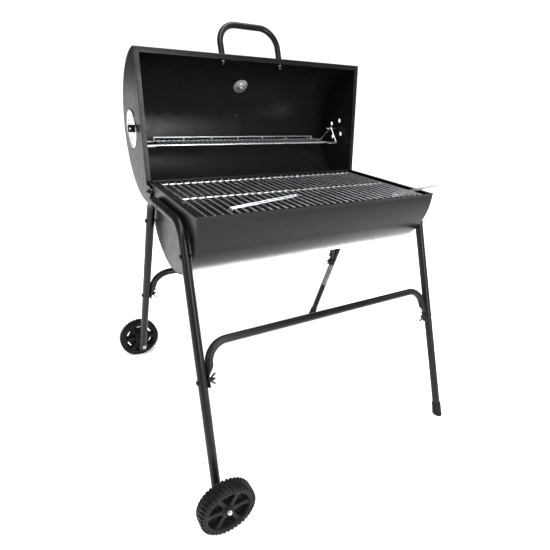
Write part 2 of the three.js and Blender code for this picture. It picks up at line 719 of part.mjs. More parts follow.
function addThermometer(parent) {
  const base = LID_RADIUS + 1.8;
  const rim = THERMOMETER_RADIUS;
  const housing = turnedAlongY([
    [0, base - 20], [3.5, base - 18], [3.5, base], [rim, base], [rim, base + 14], [rim - 3, base + 14],
    [rim - 3, base + 4], [0, base + 4],
  ]);
  const dial = turnedAlongY([[0, base + 4.3], [rim - 3.4, base + 4.3], [rim - 3.4, base + 5.5], [0, base + 5.5]]);
  const lens = turnedAlongY([[0, base + 10], [rim - 3.4, base + 10], [rim - 3.4, base + 12], [0, base + 12.8]]);
  const backPlate = turnedAlongY([
    [3.9, lidInside - 11], [8, lidInside - 11], [12, lidInside - 6], [rim - 1, lidInside - 4.2],
    [rim - 1, lidInside - 3], [3.9, lidInside - 3], [3.9, lidInside - 11],
  ]);
  const needle = join([
    new THREE.CylinderGeometry(2.4, 2.4, 1.6, 16).translate(0, base + 7.4, 0),
    new THREE.BoxGeometry(1.6, 0.8, 20).translate(0, base + 7.4, -6),
  ]);
  const pieces = [
    ['thermometer_housing', housing, chrome],
    ['thermometer_dial', dial, dialWhite],
    ['thermometer_needle', needle, needleRed],
    ['thermometer_lens', lens, glass],
    ['thermometer_back_plate', backPlate, chrome],
  ];
  for (const [name, geometry, look] of pieces) {
    addMesh(parent, name, aroundLid(geometry, 0, THERMOMETER_DEGREES), look);
  }
}

// The damper disc and its tab lie outside the right end; the left pair are the same pieces mirrored.
function ventDisc() {
  const shape = new THREE.Shape(polygon(VENT_RADIUS, 32));
  shape.holes.push(circleHole(0, 0, PIVOT_RADIUS + GAP));
  for (let i = 0; i < 4; i += 1) {
    const angle = degrees(VENT_HOLE_DEGREES + 90 * i);
    shape.holes.push(circleHole(VENT_HOLE_CIRCLE * Math.cos(angle), VENT_HOLE_CIRCLE * Math.sin(angle), VENT_HOLE));
  }
  return platePiece(shape, GAP, GAP + VENT_THICKNESS);
}

function ventTab() {
  const back = GAP + VENT_THICKNESS + GAP;
  const foot = box(point(back, -9, -54), point(back + 1.5, 9, -42));
  const grip = box(point(back, -11, -43.5), point(back + 20, 11, -41.5));
  return join([foot, grip]);
}

function addVents(parent) {
  for (const side of sides) {
    const face = side.x * (LID_LENGTH / 2);
    const pieces = [
      [`${side.word}_vent_damper`, ventDisc(), chrome],
      [`${side.word}_vent_tab`, ventTab(), blackPlastic],
      [`${side.word}_vent_pivot_bolt`, bolt(7, 3.5, PIVOT_RADIUS, PIVOT_REACH + SHEET + 2, 0)
        .translate(2 * GAP + VENT_THICKNESS, 0, 0), zinc],
    ];
    for (const [name, geometry, look] of pieces) {
      if (side.x < 0) {
        geometry.scale(-1, 1, 1);
        const plain = geometry.index ? geometry : mergeVertices(geometry);
        flipFaces(plain);
        addMesh(parent, name, plain, look).position.set(face, lidMiddle, lidPlane + VENT_HEIGHT);
      } else {
        addMesh(parent, name, geometry, look).position.set(face, lidMiddle, lidPlane + VENT_HEIGHT);
      }
    }
  }
}

// The warming rack hangs level from the two pivot bolts; its origin is on their axis.
function warmingRack() {
  const z = -RACK_DROP;
  const front = RACK_FRONT;
  const rear = RACK_REAR;
  const half = RACK_HALF_LENGTH;
  const rodReach = ((RACK_WIRES - 1) / 2) * RACK_PITCH + 3;
  const pieces = [
    rod([point(-half - 2, front, z), point(half + 2, front, z)], RACK_ROD, 4),
    rod([point(-rodReach, rear, z), point(rodReach, rear, z)], RACK_ROD, 4),
    rod([point(-rodReach, rear + 1, z + RACK_FENCE), point(rodReach, rear + 1, z + RACK_FENCE)], RACK_ROD, 4),
  ];
  for (let i = 0; i < RACK_WIRES; i += 1) {
    const x = (i - (RACK_WIRES - 1) / 2) * RACK_PITCH;
    const stations = [point(x, front - 1.5, z + 2.6), point(x, rear + 2.6, z + 2.6)];
    if (i % 6 === 0 || i === RACK_WIRES - 1) {
      stations[1].y = rear + 1;
      stations.push(point(x, rear + 2.4, z + RACK_FENCE + 1));
    }
    pieces.push(rod(stations, RACK_WIRE, 4));
  }
  for (const side of sides) {
    const x = side.x * half;
    const loop = PIVOT_RADIUS + GAP + RACK_ROD + 0.6;
    const stations = [point(x - side.x * RACK_TOE, front + 3, z - 3.4), point(x, front + 3, z - 3.4)];
    for (let i = 0; i <= 6; i += 1) {
      const angle = Math.PI - (i / 6) * Math.PI;
      stations.push(point(x, loop * Math.cos(angle), loop * Math.sin(angle)));
    }
    stations.push(point(x, rear, z - 1), point(side.x * (rodReach - 2), rear, z - 1));
    pieces.push(rod(stations, RACK_ROD, 6));
  }
  return join(pieces);
}

function addLid(parent) {
  const barrel = new THREE.Group();
  barrel.position.set(0, lidMiddle, lidPlane);
  parent.add(barrel);
  addMesh(barrel, 'lid_shell', lidShell(), paint);
  for (const side of sides) {
    addMesh(barrel, `lid_${side.word}_end`, lidEnd(side), paint);
  }
  addMesh(barrel, 'lid_handle', aroundLid(lidHandle(), 0, HANDLE_DEGREES), paint);
  for (const side of sides) {
    const screw = aroundLid(lidScrew(true, 2.5, 16), (side.x * HANDLE_SPREAD) / 2, HANDLE_DEGREES);
    addMesh(barrel, `${side.word}_handle_screw`, screw, zinc);
  }
  addMesh(barrel, 'lid_centre_screw', aroundLid(lidScrew(false, 2.1, 12), 0, CENTRE_SCREW_DEGREES), zinc);
  addThermometer(barrel);
  addVents(parent);
}

function addHinges(parent) {
  for (const side of sides) {
    const outside = LID_LENGTH / 2 + GAP;
    const nutFrom = outside - (BOWL_LENGTH / 2 - SHEET - GAP);
    const pin = bolt(7, 4.5, HINGE_BOLT_RADIUS, nutFrom + 9, nutFrom);
    const hingeBolt = addMesh(parent, `${side.word}_hinge_bolt`, pin, paint);
    hingeBolt.position.set(side.x * outside, HINGE_Y, hingeZ);
    hingeBolt.rotation.z = side.x < 0 ? Math.PI : 0;
    const length = LID_LENGTH / 2 - SHEET - BOWL_LENGTH / 2 - 2 * GAP;
    const sleeve = hollowTube([point(0, 0, 0), point(length, 0, 0)], 7, 7 - BOLT_HOLE);
    const spacer = addMesh(parent, `${side.word}_hinge_spacer`, sleeve, zinc);
    const from = BOWL_LENGTH / 2 + GAP;
    spacer.position.set(side.x < 0 ? -from - length : from, HINGE_Y, hingeZ);
  }
}

// ---- The whole grill -------------------------------------------------------------------------------

const grill = new THREE.Group();
const body = new THREE.Group();
grill.add(body);

const firebox = new THREE.Group();
firebox.position.z = bowlCentreZ;
body.add(firebox);
addMesh(firebox, 'bowl_shell', bowlShell(), paint);
for (const side of sides) {
  addMesh(firebox, `bowl_${side.word}_end`, bowlEnd(side), paint);
  addMesh(body, `${side.word}_grate_rail`, grateRail(side), paint);
}
addMesh(body, 'charcoal_grate', charcoalGrate(), paint).position.z = COAL_GRATE_Z;
addMesh(body, 'cooking_grate', cookingGrate(), chrome).position.z = GRATE_Z;
for (const lifter of LIFTERS) {
  addMesh(body, lifter.name, grateLifter(), chrome).position.set(lifter.x, lifter.y, GRATE_Z);
}
addStand(body);
addWheels(body);
addHinges(body);

const lid = new THREE.Group();
lid.position.set(0, HINGE_Y, hingeZ);
lid.rotation.x = -degrees(LID_OPEN_DEGREES);
body.add(lid);
addLid(lid);

const rackHanger = new THREE.Group();
rackHanger.position.set(0, lidMiddle, lidPlane + VENT_HEIGHT);
rackHanger.rotation.x = degrees(LID_OPEN_DEGREES);
lid.add(rackHanger);
addMesh(rackHanger, 'warming_rack', warmingRack(), chrome);

// The origin is on the ground under the middle of the whole grill, wheels and lifters included.
grill.updateMatrixWorld(true);
const reach = new THREE.Box3().setFromObject(grill, true);
body.position.x = -(reach.min.x + reach.max.x) / 2;
body.position.y = -(reach.min.y + reach.max.y) / 2;

export default grill;
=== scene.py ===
import json
import math

import bmesh
import bpy
from mathutils import Matrix, Vector
from mathutils.geometry import tessellate_polygon


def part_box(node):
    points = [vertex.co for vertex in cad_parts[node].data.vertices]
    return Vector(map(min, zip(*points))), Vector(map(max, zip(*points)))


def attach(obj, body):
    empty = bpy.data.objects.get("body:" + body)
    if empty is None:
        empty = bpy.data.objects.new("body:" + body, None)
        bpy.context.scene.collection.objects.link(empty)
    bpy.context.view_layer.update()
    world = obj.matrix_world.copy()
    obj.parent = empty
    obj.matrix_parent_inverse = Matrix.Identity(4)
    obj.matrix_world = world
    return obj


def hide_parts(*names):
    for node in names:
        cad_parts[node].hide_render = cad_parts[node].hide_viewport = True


# The looks of a barrel charcoal grill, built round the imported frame. Dimensions are in millimetres, in the
# frame's axes, counted along X from the middle of the bowl; make() turns them into metres in the row frame.

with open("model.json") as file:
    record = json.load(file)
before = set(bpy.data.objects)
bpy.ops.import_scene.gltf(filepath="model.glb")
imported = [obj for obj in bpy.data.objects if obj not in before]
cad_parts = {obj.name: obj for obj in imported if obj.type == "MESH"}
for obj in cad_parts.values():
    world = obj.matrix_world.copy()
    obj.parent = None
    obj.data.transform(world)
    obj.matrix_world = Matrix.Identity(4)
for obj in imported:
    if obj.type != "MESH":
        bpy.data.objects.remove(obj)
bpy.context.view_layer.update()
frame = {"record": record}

MM = 0.001
BODY_OF = {n: body for body, ns in frame["record"]["behaviour"]["bodies"].items() for n in ns}
SIDES = (("left", -1), ("right", 1))
ENDS = (("front", -1), ("rear", 1))


def box_mm(node):
    low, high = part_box(node)
    return low / MM, high / MM


BOWL_LOW, BOWL_HIGH = box_mm("bowl_shell")
MID_X = (BOWL_LOW.x + BOWL_HIGH.x) / 2
BOWL_HALF = (BOWL_HIGH.x - BOWL_LOW.x) / 2
BOWL_RADIUS = (BOWL_HIGH.y - BOWL_LOW.y) / 2
RIM_Z = BOWL_HIGH.z
BAND = 6.0
BOWL_Z = RIM_Z - BAND
SHEET = 1.5
GAP = 0.3
END_FLANGE = 12.0
ARC_STEPS = 96

LID_LOW, LID_HIGH = box_mm("lid_shell")
LID_HALF = (LID_HIGH.x - LID_LOW.x) / 2
LID_RADIUS = 215.0
LID_LIP = 15.0
LID_REAR_LIP = 10.0
LID_FOLD = 3.0
LID_OPEN = math.radians(95.7)
HINGE_LOW, HINGE_HIGH = box_mm("right_hinge_spacer")
HINGE_Y = (HINGE_LOW.y + HINGE_HIGH.y) / 2
HINGE_Z = (HINGE_LOW.z + HINGE_HIGH.z) / 2
HINGE_BELOW_LID = 26.0
EAR_RADIUS = 16.0
LIP_NOTCH_Y = 150.0
HOLE = 3.4

LEG_RADIUS = 12.5
CROSSBAR_RADIUS = 11.0
TUBE_WALL = 1.2
LEG_TOP_Z = 717.0
LEG_TOP_X = BOWL_HALF + LEG_RADIUS + GAP
LEG_FOOT_X = 418.8
LEG_TOP_Y = 131.5
LEG_FOOT_Y = 396.3
LEG_BEND = 60.0
LEG_JOINT_Y = 60.0
LEG_BOLT_Z = 642.0
CROSSBAR_Z = 430.0
CROSSBAR_END_Z = 324.0
CROSSBAR_BEND = 55.0
CROSSBAR_BOLT_Z = 341.0
PRESSED_THICKNESS = 7.0
PRESSED_FROM_Z = 376.0
PRESSED_BELOW_Z = 354.0
LEG_END_Z = 52.0
CAP_SOLE = 8.0
CAP_TOP_Z = 42.0
CAP_RADIUS = 15.5
LABEL_TOP_Z = 322.0
LABEL_BOTTOM_Z = 205.0
LABEL_FACES = (-0.62, -0.78, 0.0)
LABEL_HALF_WRAP = 62

WHEEL_RADIUS = 75.0
WHEEL_HALF = 20.0
WHEEL_Y = 433.5
WHEEL_Z = 75.0
RIM_INSIDE = 56.0
TREAD_FLOOR = 70.6
LUGS = 40
SPOKES = 6
HUB_RADIUS = 15.0
WEB_HALF = 1.5
SLOT_RADIUS = 46.0
SLOT_LENGTH = 22.0
SLOT_WIDTH = 5.0
AXLE_RADIUS = 4.0
AXLE_HOLE = 4.6

GRATE_Z = 745.0
GRATE_WIRES = 33
GRATE_PITCH = 22.5
GRATE_HALF_DEPTH = 194.0
GRATE_CROSS_RODS = (-186, 0, 186)
COAL_Z = 610.0
COAL_RODS = 13
COAL_PITCH = 22.0
COAL_CROSS_RODS = (-340, 0, 340)
COAL_HALF_LENGTH = 368
LIFTERS = {"left_grate_lifter": (-281.25, -150.0), "right_grate_lifter": (258.75, -170.0)}
LIFTER_LENGTH = 198.0
LIFTER_RISE = 18.0

VENT_HEIGHT = 112.0
VENT_RADIUS = 57.5
VENT_HOLE = 7.3
VENT_CIRCLE = 35.5
VENT_TURN = math.radians(33)
VENT_SHEET = 1.2
PIVOT_HOLE = 3.3

RACK_HALF = 371.0
RACK_DROP = 46.0
RACK_FRONT = -48.0
RACK_REAR = 54.0
RACK_WIRES = 38
RACK_PITCH = 17.2
RACK_FENCE = 12.0
RACK_TOE = 31.0
RACK_ROD = 2.2
RACK_WIRE = 1.6

HANDLE_RADIUS = 9.5
HANDLE_SPREAD = 210.0
HANDLE_REACH = 124.0
HANDLE_BEND = 62.0
HANDLE_TURN = 17.0
THERMOMETER_TURN = 48.0
CENTRE_SCREW_TURN = 77.0
DIAL_RADIUS = 27.0
DIAL_MARKS = 31
DIAL_SWEEP = 240


# ---- Making pieces ----

class Form:
    """The points and faces of one piece, in millimetres."""

    def __init__(self):
        self.points = []
        self.faces = []

    def add(self, points, faces, at=None):
        start = len(self.points)
        self.points += [at @ Vector(p) if at else Vector(p) for p in points]
        self.faces += [[start + i for i in face] for face in faces]
        return self

    def loft(self, rings, closed=False, capped=True, at=None):
        """Skins a row of rings with the same number of points, and caps its two ends."""
        count = len(rings[0])
        points = [p for ring in rings for p in ring]
        faces = []
        for i in range(len(rings) if closed else len(rings) - 1):
            a, b = i * count, ((i + 1) % len(rings)) * count
            faces += [[a + j, a + (j + 1) % count, b + (j + 1) % count, b + j] for j in range(count)]
        if capped and not closed:
            faces += [list(range(count)), list(range(len(points) - count, len(points)))]
        return self.add(points, faces, at)

    def turned(self, profile, at=None, segments=32):
        """A turned piece about +X. The profile lists (along, radius); a closed profile repeats its first."""
        closed = profile[0] == profile[-1]
        if closed:
            profile = profile[:-1]
        turns = [2 * math.pi * i / segments for i in range(segments)]
        sizes = [(along, max(radius, 0.05)) for along, radius in profile]
        rings = [[(x, size * math.cos(t), size * math.sin(t)) for t in turns] for x, size in sizes]
        return self.loft(rings, closed, at=at)

    def tube(self, path, radius, sides=16, flat=1.0, at=None):
        """A solid rod along a path. The radius is one number, or one for each point."""
        radii = radius if isinstance(radius, list) else [radius] * len(path)
        return self.loft(rings_along(path, radii, sides, flat), at=at)

    def wire(self, path, radius, sides=12):
        """A rod whose two ends are domed inside its own length."""
        stations, radii = domed([Vector(p) for p in path], radius)
        return self.tube(stations, radii, sides)

    def pipe(self, path, radius, wall, sides=28):
        """An open-ended tube with a wall; its ends are slightly rounded over."""
        path = [Vector(p) for p in path]
        soft = wall * 0.4
        first = (path[1] - path[0]).normalized() * soft
        last = (path[-2] - path[-1]).normalized() * soft
        outer = [path[0], path[0] + first, *path[1:-1], path[-1] + last, path[-1]]
        radii = [radius - soft, *[radius] * (len(outer) - 2), radius - soft]
        inner = list(reversed(rings_along(path, [radius - wall] * len(path), sides)))
        return self.loft(rings_along(outer, radii, sides) + inner, closed=True)

    def slab(self, outline, holes, low, high, at=None):
        """A flat plate in the YZ plane from x = low to x = high, with holes right through."""
        loops = [outline, *holes]
        flat = [p for loop in loops for p in loop]
        triangles = filled(loops)
        count = len(flat)
        points = [(x, y, z) for x in (low, high) for y, z in flat]
        faces = triangles + [[i + count for i in t] for t in triangles]
        start = 0
        for loop in loops:
            size = len(loop)
            for i in range(size):
                a, b = start + i, start + (i + 1) % size
                faces.append([a, b, b + count, a + count])
            start += size
        return self.add(points, faces, at)

    def block(self, low, high, at=None):
        corners = [(x, y, z) for x in (low[0], high[0]) for y in (low[1], high[1]) for z in (low[2], high[2])]
        faces = [[0, 1, 3, 2], [4, 6, 7, 5], [0, 4, 5, 1], [2, 3, 7, 6], [0, 2, 6, 4], [1, 5, 7, 3]]
        return self.add(corners, faces, at)


def filled(loops):
    """Triangles between an outline and its holes, all in the YZ plane."""
    return [list(t) for t in tessellate_polygon([[Vector((y, z, 0)) for y, z in loop] for loop in loops])]


def at_x(x, outline):
    return [(x, y, z) for y, z in outline]


def along_x(start, profile):
    return [(start + x, radius) for x, radius in profile]


def rings_along(path, radii, sides, flat=1.0):
    """Rings round a path, carried along it without twist."""
    path = [Vector(p) for p in path]
    rings = []
    across = None
    for i, here in enumerate(path):
        along = (path[min(i + 1, len(path) - 1)] - path[max(i - 1, 0)]).normalized()
        if across is None:
            seed = Vector((0, 0, 1)) if abs(along.z) < 0.9 else Vector((1, 0, 0))
            across = along.cross(seed).normalized()
        across = (across - along * across.dot(along)).normalized()
        up = along.cross(across)
        turns = [2 * math.pi * j / sides for j in range(sides)]
        rings.append([here + (across * math.cos(t) + up * (flat * math.sin(t))) * radii[i] for t in turns])
    return rings


def domed(path, radius, steps=4):
    first = (path[1] - path[0]).normalized()
    last = (path[-2] - path[-1]).normalized()
    turns = [math.pi / 2 * i / steps for i in range(steps + 1)]
    start = [path[0] + first * radius * (1 - math.cos(t)) for t in turns]
    stop = [path[-1] + last * radius * (1 - math.cos(t)) for t in turns]
    sizes = [radius * max(math.sin(t), 0.12) for t in turns]
    stations = start + list(path[1:-1]) + stop[::-1]
    return stations, sizes + [radius] * (len(path) - 2) + sizes[::-1]


def bent(corners, radius, steps=12):
    """A path through the corners, with each inner corner replaced by an arc."""
    corners = [Vector(c) for c in corners]
    path = [corners[0]]
    for before, corner, after in zip(corners, corners[1:], corners[2:]):
        to_before = (before - corner).normalized()
        to_after = (after - corner).normalized()
        half = to_before.angle(to_after) / 2
        centre = corner + (to_before + to_after).normalized() * (radius / math.sin(half))
        spoke = corner + to_before * (radius / math.tan(half)) - centre
        axis = to_after.cross(to_before).normalized()
        for i in range(steps + 1):
            turn = Matrix.Rotation((math.pi - 2 * half) * i / steps, 3, axis)
            path.append(centre + turn @ spoke)
    path.append(corners[-1])
    return path


def move(x, y, z):
    return Matrix.Translation((x, y, z))


def turn(degrees, axis):
    return Matrix.Rotation(math.radians(degrees), 4, axis)


def mirrored(way):
    """Turns a piece made for the +X side into the one for the side that is asked for."""
    return Matrix.Scale(way, 4, (1, 0, 0))


def facing(way):
    """Turns a piece made along +X to point away from the middle on its own side."""
    return Matrix.Identity(4) if way > 0 else turn(180, "Z")


def arc(centre_y, centre_z, radius, start, stop, steps):
    """Points (y, z) on an arc, its angles in degrees from +Y towards +Z."""
    turns = [math.radians(start + (stop - start) * i / steps) for i in range(steps + 1)]
    return [(centre_y + radius * math.cos(t), centre_z + radius * math.sin(t)) for t in turns]


def circle(y, z, radius, sides=32):
    return arc(y, z, radius, 0, 360, sides)[:-1]


def make(node, form, look, soften=0.0, extra=None, crease=34):
    """Turns a form into a piece on its node's body; unless it is an extra, it replaces the node."""
    mesh = bpy.data.meshes.new(extra or f"{node}_detail")
    points = [((p.x + MID_X) * MM, p.y * MM, p.z * MM) for p in form.points]
    mesh.from_pydata(points, [], form.faces)
    shape = bmesh.new()
    shape.from_mesh(mesh)
    bmesh.ops.recalc_face_normals(shape, faces=shape.faces)
    shape.to_mesh(mesh)
    shape.free()
    mesh.shade_smooth()
    mesh.set_sharp_from_angle(angle=math.radians(crease))
    mesh.materials.append(LOOKS[look])
    piece = bpy.data.objects.new(mesh.name, mesh)
    bpy.context.scene.collection.objects.link(piece)
    if soften:
        bevel = piece.modifiers.new("soft_edges", "BEVEL")
        bevel.width = soften * MM
        bevel.segments = 2
        bevel.limit_method = "ANGLE"
        bevel.angle_limit = math.radians(40)
    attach(piece, BODY_OF[node])
    if not extra:
        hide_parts(node)


# ---- Materials ----

class Graph:
    """One node material, with the few nodes that all the looks share."""

    def __init__(self, name):
        self.material = bpy.data.materials.new(name)
        self.material.use_nodes = True
        self.tree = self.material.node_tree
        self.shader = self.tree.nodes["Principled BSDF"]
        self.place = self.tree.nodes.new("ShaderNodeTexCoord").outputs["Object"]

    def node(self, kind, **settings):
        node = self.tree.nodes.new(kind)
        for key, value in settings.items():
            setattr(node, key, value)
        return node

    def link(self, source, target):
        self.tree.links.new(source, target)

    def noise(self, scale, detail=3.0, stretch=None):
        node = self.node("ShaderNodeTexNoise")
        node.inputs["Scale"].default_value = scale
        node.inputs["Detail"].default_value = detail
        source = self.place
        if stretch:
            mapping = self.node("ShaderNodeMapping")
            mapping.inputs["Scale"].default_value = stretch
            self.link(source, mapping.inputs["Vector"])
            source = mapping.outputs["Vector"]
        self.link(source, node.inputs["Vector"])
        return node.outputs["Fac"]

    def spread(self, source, low, high, to_low, to_high):
        """Maps a value from one range to another, clamped."""
        node = self.node("ShaderNodeMapRange")
        for key, value in zip(("From Min", "From Max", "To Min", "To Max"), (low, high, to_low, to_high)):
            node.inputs[key].default_value = value
        self.link(source, node.inputs["Value"])
        return node.outputs["Result"]

    def combine(self, operation, first, second):
        node = self.node("ShaderNodeMath", operation=operation)
        for socket, value in zip(node.inputs, (first, second)):
            if isinstance(value, float):
                socket.default_value = value
            else:
                self.link(value, socket)
        return node.outputs[0]

    def blend(self, share, first, second):
        """A colour between two colours, each a colour or another node's output."""
        node = self.node("ShaderNodeMix", data_type="RGBA")
        self.link(share, node.inputs["Factor"])
        for socket, value in ((node.inputs[6], first), (node.inputs[7], second)):
            if isinstance(value, tuple):
                socket.default_value = (*value, 1)
            else:
                self.link(value, socket)
        return node.outputs[2]

    def bump(self, *layers):
        """Stacked bumps; each layer is (height, distance in metres, strength)."""
        normal = None
        for height, distance, strength in layers:
            node = self.node("ShaderNodeBump")
            node.inputs["Distance"].default_value = distance
            node.inputs["Strength"].default_value = strength
            self.link(height, node.inputs["Height"])
            if normal:
                self.link(normal, node.inputs["Normal"])
            normal = node.outputs["Normal"]
        self.link(normal, self.shader.inputs["Normal"])

    def edges(self, reach):
        """1 along edges and 0 on flat stretches, from how far a rounded normal leans away."""
        rounded = self.node("ShaderNodeBevel", samples=4)
        rounded.inputs["Radius"].default_value = reach
        plain = self.node("ShaderNodeNewGeometry")
        dot = self.node("ShaderNodeVectorMath", operation="DOT_PRODUCT")
        self.link(rounded.outputs["Normal"], dot.inputs[0])
        self.link(plain.outputs["Normal"], dot.inputs[1])
        return self.spread(dot.outputs["Value"], 0.985, 0.86, 0.0, 1.0)

    def paint(self, colour=None, roughness=None, **fixed):
        if colour is not None:
            self.link(colour, self.shader.inputs["Base Color"])
        if roughness is not None:
            self.link(roughness, self.shader.inputs["Roughness"])
        for key, value in fixed.items():
            self.shader.inputs[key.replace("_", " ").title().replace("Ior", "IOR")].default_value = value
        return self.material


def black_enamel():
    """Heat-proof black enamel: faint orange peel, fine specks, sheet waviness and dull grey edges."""
    g = Graph("black_enamel")
    cloud = g.noise(7.0, 4.0)
    speck = g.spread(g.noise(800.0, 2.0), 0.62, 0.8, 0.0, 1.0)
    worn = g.combine("MULTIPLY", g.edges(0.0005), g.spread(g.noise(26.0, 2.0), 0.42, 0.62, 0.2, 1.0))
    base = g.blend(cloud, (0.0035, 0.0035, 0.0037), (0.0058, 0.0058, 0.0061))
    base = g.blend(speck, base, (0.0068, 0.0068, 0.0072))
    base = g.blend(worn, base, (0.05, 0.049, 0.047))
    smooth = g.spread(g.noise(32.0, 5.0), 0.3, 0.7, 0.26, 0.35)
    rough = g.combine("ADD", smooth, g.combine("MULTIPLY", worn, 0.1))
    g.bump((g.noise(5.5, 1.0), 0.0028, 0.22), (g.noise(420.0, 1.0), 0.00004, 0.16))
    return g.paint(base, rough, specular_ior_level=0.17)


def bright_plate(name, light, dark, smooth, rough, grain):
    """Plated metal: a slightly cloudy mirror with fine scratches and dull patches."""
    g = Graph(name)
    cloud = g.noise(38.0, 5.0)
    scratch = g.noise(900.0, 3.0, stretch=(0.12, 1.0, 1.0))
    colour = g.blend(g.spread(cloud, 0.35, 0.7, 0.0, 1.0), light, dark)
    shine = g.spread(g.combine("ADD", cloud, g.combine("MULTIPLY", scratch, 0.5)), 0.5, 1.05, smooth, rough)
    g.bump((scratch, 0.00003, grain), (g.noise(60.0, 3.0), 0.0003, grain * 0.6))
    return g.paint(colour, shine, metallic=1.0)


def moulded(name, light, dark, smooth, rough, grain):
    """Moulded plastic or rubber: fine grain, slight blotches and scuffed edges."""
    g = Graph(name)
    cloud = g.noise(24.0, 4.0)
    scuffs = g.combine("MULTIPLY", g.edges(0.0016), g.spread(g.noise(140.0, 4.0), 0.4, 0.65, 0.0, 1.0))
    colour = g.blend(scuffs, g.blend(cloud, dark, light), tuple(2.4 * c + 0.01 for c in light))
    shine = g.spread(g.noise(90.0, 4.0), 0.3, 0.7, smooth, rough)
    g.bump((g.noise(1500.0, 2.0), 0.00012, grain), (g.noise(160.0, 3.0), 0.0002, grain * 0.5))
    return g.paint(colour, shine, specular_ior_level=0.09)


def printed_dial():
    """An off-white enamel dial with a faint mottle."""
    g = Graph("dial_enamel")
    colour = g.blend(g.noise(220.0, 4.0), (0.76, 0.75, 0.70), (0.86, 0.85, 0.81))
    g.bump((g.noise(900.0, 2.0), 0.00003, 0.3))
    return g.paint(colour, g.spread(g.noise(80.0), 0.3, 0.7, 0.3, 0.42))


def needle_enamel():
    g = Graph("needle_enamel")
    colour = g.blend(g.noise(400.0, 4.0), (0.42, 0.022, 0.016), (0.55, 0.035, 0.024))
    g.bump((g.noise(1400.0, 2.0), 0.00003, 0.3))
    return g.paint(colour, g.spread(g.noise(300.0), 0.3, 0.7, 0.3, 0.45))


def clear_pane():
    """A clear lens with faint smears."""
    g = Graph("clear_pane")
    g.bump((g.noise(90.0, 3.0), 0.00004, 0.2))
    smears = g.spread(g.noise(60.0, 5.0), 0.45, 0.75, 0.01, 0.14)
    return g.paint(None, smears, transmission_weight=1.0, ior=1.47, base_color=(0.97, 0.985, 0.98, 1))


# Each metal: a light and a dark colour, its smoothest and roughest patches, and the depth of its grain.
METALS = {
    "chrome_wire": ((0.88, 0.88, 0.89), (0.74, 0.74, 0.75), 0.32, 0.46, 0.2),
    "chrome_plate": ((0.90, 0.90, 0.91), (0.83, 0.83, 0.84), 0.14, 0.24, 0.12),
    "zinc_steel": ((0.62, 0.63, 0.65), (0.46, 0.47, 0.49), 0.24, 0.42, 0.4),
    "dull_plate": ((0.62, 0.62, 0.63), (0.48, 0.48, 0.49), 0.42, 0.55, 0.2),
    "foil_label": ((0.20, 0.20, 0.205), (0.12, 0.12, 0.125), 0.5, 0.65, 0.4),
}
# Each plastic, in the same order.
PLASTICS = {
    "black_plastic": ((0.0062, 0.0062, 0.0065), (0.0035, 0.0035, 0.0037), 0.40, 0.55, 0.35),
    "foot_rubber": ((0.009, 0.009, 0.009), (0.005, 0.005, 0.005), 0.62, 0.82, 0.6),
}
LOOKS = {name: bright_plate(name, *values) for name, values in METALS.items()}
LOOKS.update({name: moulded(name, *values) for name, values in PLASTICS.items()})
LOOKS["black_paint"] = black_enamel()
LOOKS["dial_face"] = printed_dial()
LOOKS["needle_paint"] = needle_enamel()
LOOKS["clear_glass"] = clear_pane()


# ---- Bowl ----

def bowl_shell():
    """A rolled sheet with a hem rolled over along each long rim."""
    hem = 1.9
    inner = BOWL_RADIUS - SHEET
    left = arc(-BOWL_RADIUS - 0.1, RIM_Z - hem, hem, 250, 0, 10)
    right = arc(BOWL_RADIUS + 0.1, RIM_Z - hem, hem, 180, -70, 10)
    section = left + arc(0, BOWL_Z, inner, 180, 360, ARC_STEPS) + right
    section += arc(0, BOWL_Z, BOWL_RADIUS, 360, 180, ARC_STEPS)
    stations = [-BOWL_HALF + BOWL_HALF * 2 * i / 8 for i in range(9)]
    make("bowl_shell", Form().loft([at_x(x, section) for x in stations]), "black_paint")


def dee(radius, top, inset, steps=72):
    """A half disc with a band above it, drawn in by the inset."""
    curve = arc(0, 0, radius - inset, 180, 360, steps)
    return [(-(radius - inset), top - inset), *curve, (radius - inset, top - inset)]


def dished_plate(outlines, holes, low, high):
    """A pressed plate: its rim folds inward through the outlines, each a (x, outline) pair."""
    form = Form().loft([at_x(x, outline) for x, outline in outlines], capped=False)
    for x, outline in ((high, outlines[0][1]), (low, outlines[-1][1])):
        loops = [outline, *holes]
        form.add([(x, y, z) for loop in loops for y, z in loop], filled(loops))
    for hole in holes:
        size = len(hole)
        form.add(at_x(low, hole) + at_x(high, hole),
                 [[i, (i + 1) % size, size + (i + 1) % size, size + i] for i in range(size)])
    return form


def leg_y(z):
    return LEG_TOP_Y + (LEG_FOOT_Y - LEG_TOP_Y) * (LEG_TOP_Z - z) / LEG_TOP_Z


def leg_x(z):
    return LEG_TOP_X + (LEG_FOOT_X - LEG_TOP_X) * (LEG_TOP_Z - z) / LEG_TOP_Z


def leg_point(side, end, z):
    """A point on the middle line of a leg's straight part."""
    return Vector((side * leg_x(z), end * leg_y(z), z))


def welded(form, distance=0.02):
    """Joins points that lie on each other, and drops the faces that this makes twice."""
    shape = bmesh.new()
    points = [shape.verts.new(p) for p in form.points]
    for face in form.faces:
        try:
            shape.faces.new([points[i] for i in face])
        except ValueError:
            continue
    bmesh.ops.remove_doubles(shape, verts=shape.verts, dist=distance)
    shape.verts.index_update()
    joined = Form()
    joined.points = [v.co.copy() for v in shape.verts]
    joined.faces = [[v.index for v in f.verts] for f in shape.faces]
    shape.free()
    return joined


def transformed(form, matrix):
    form.points = [matrix @ p for p in form.points]
    return form


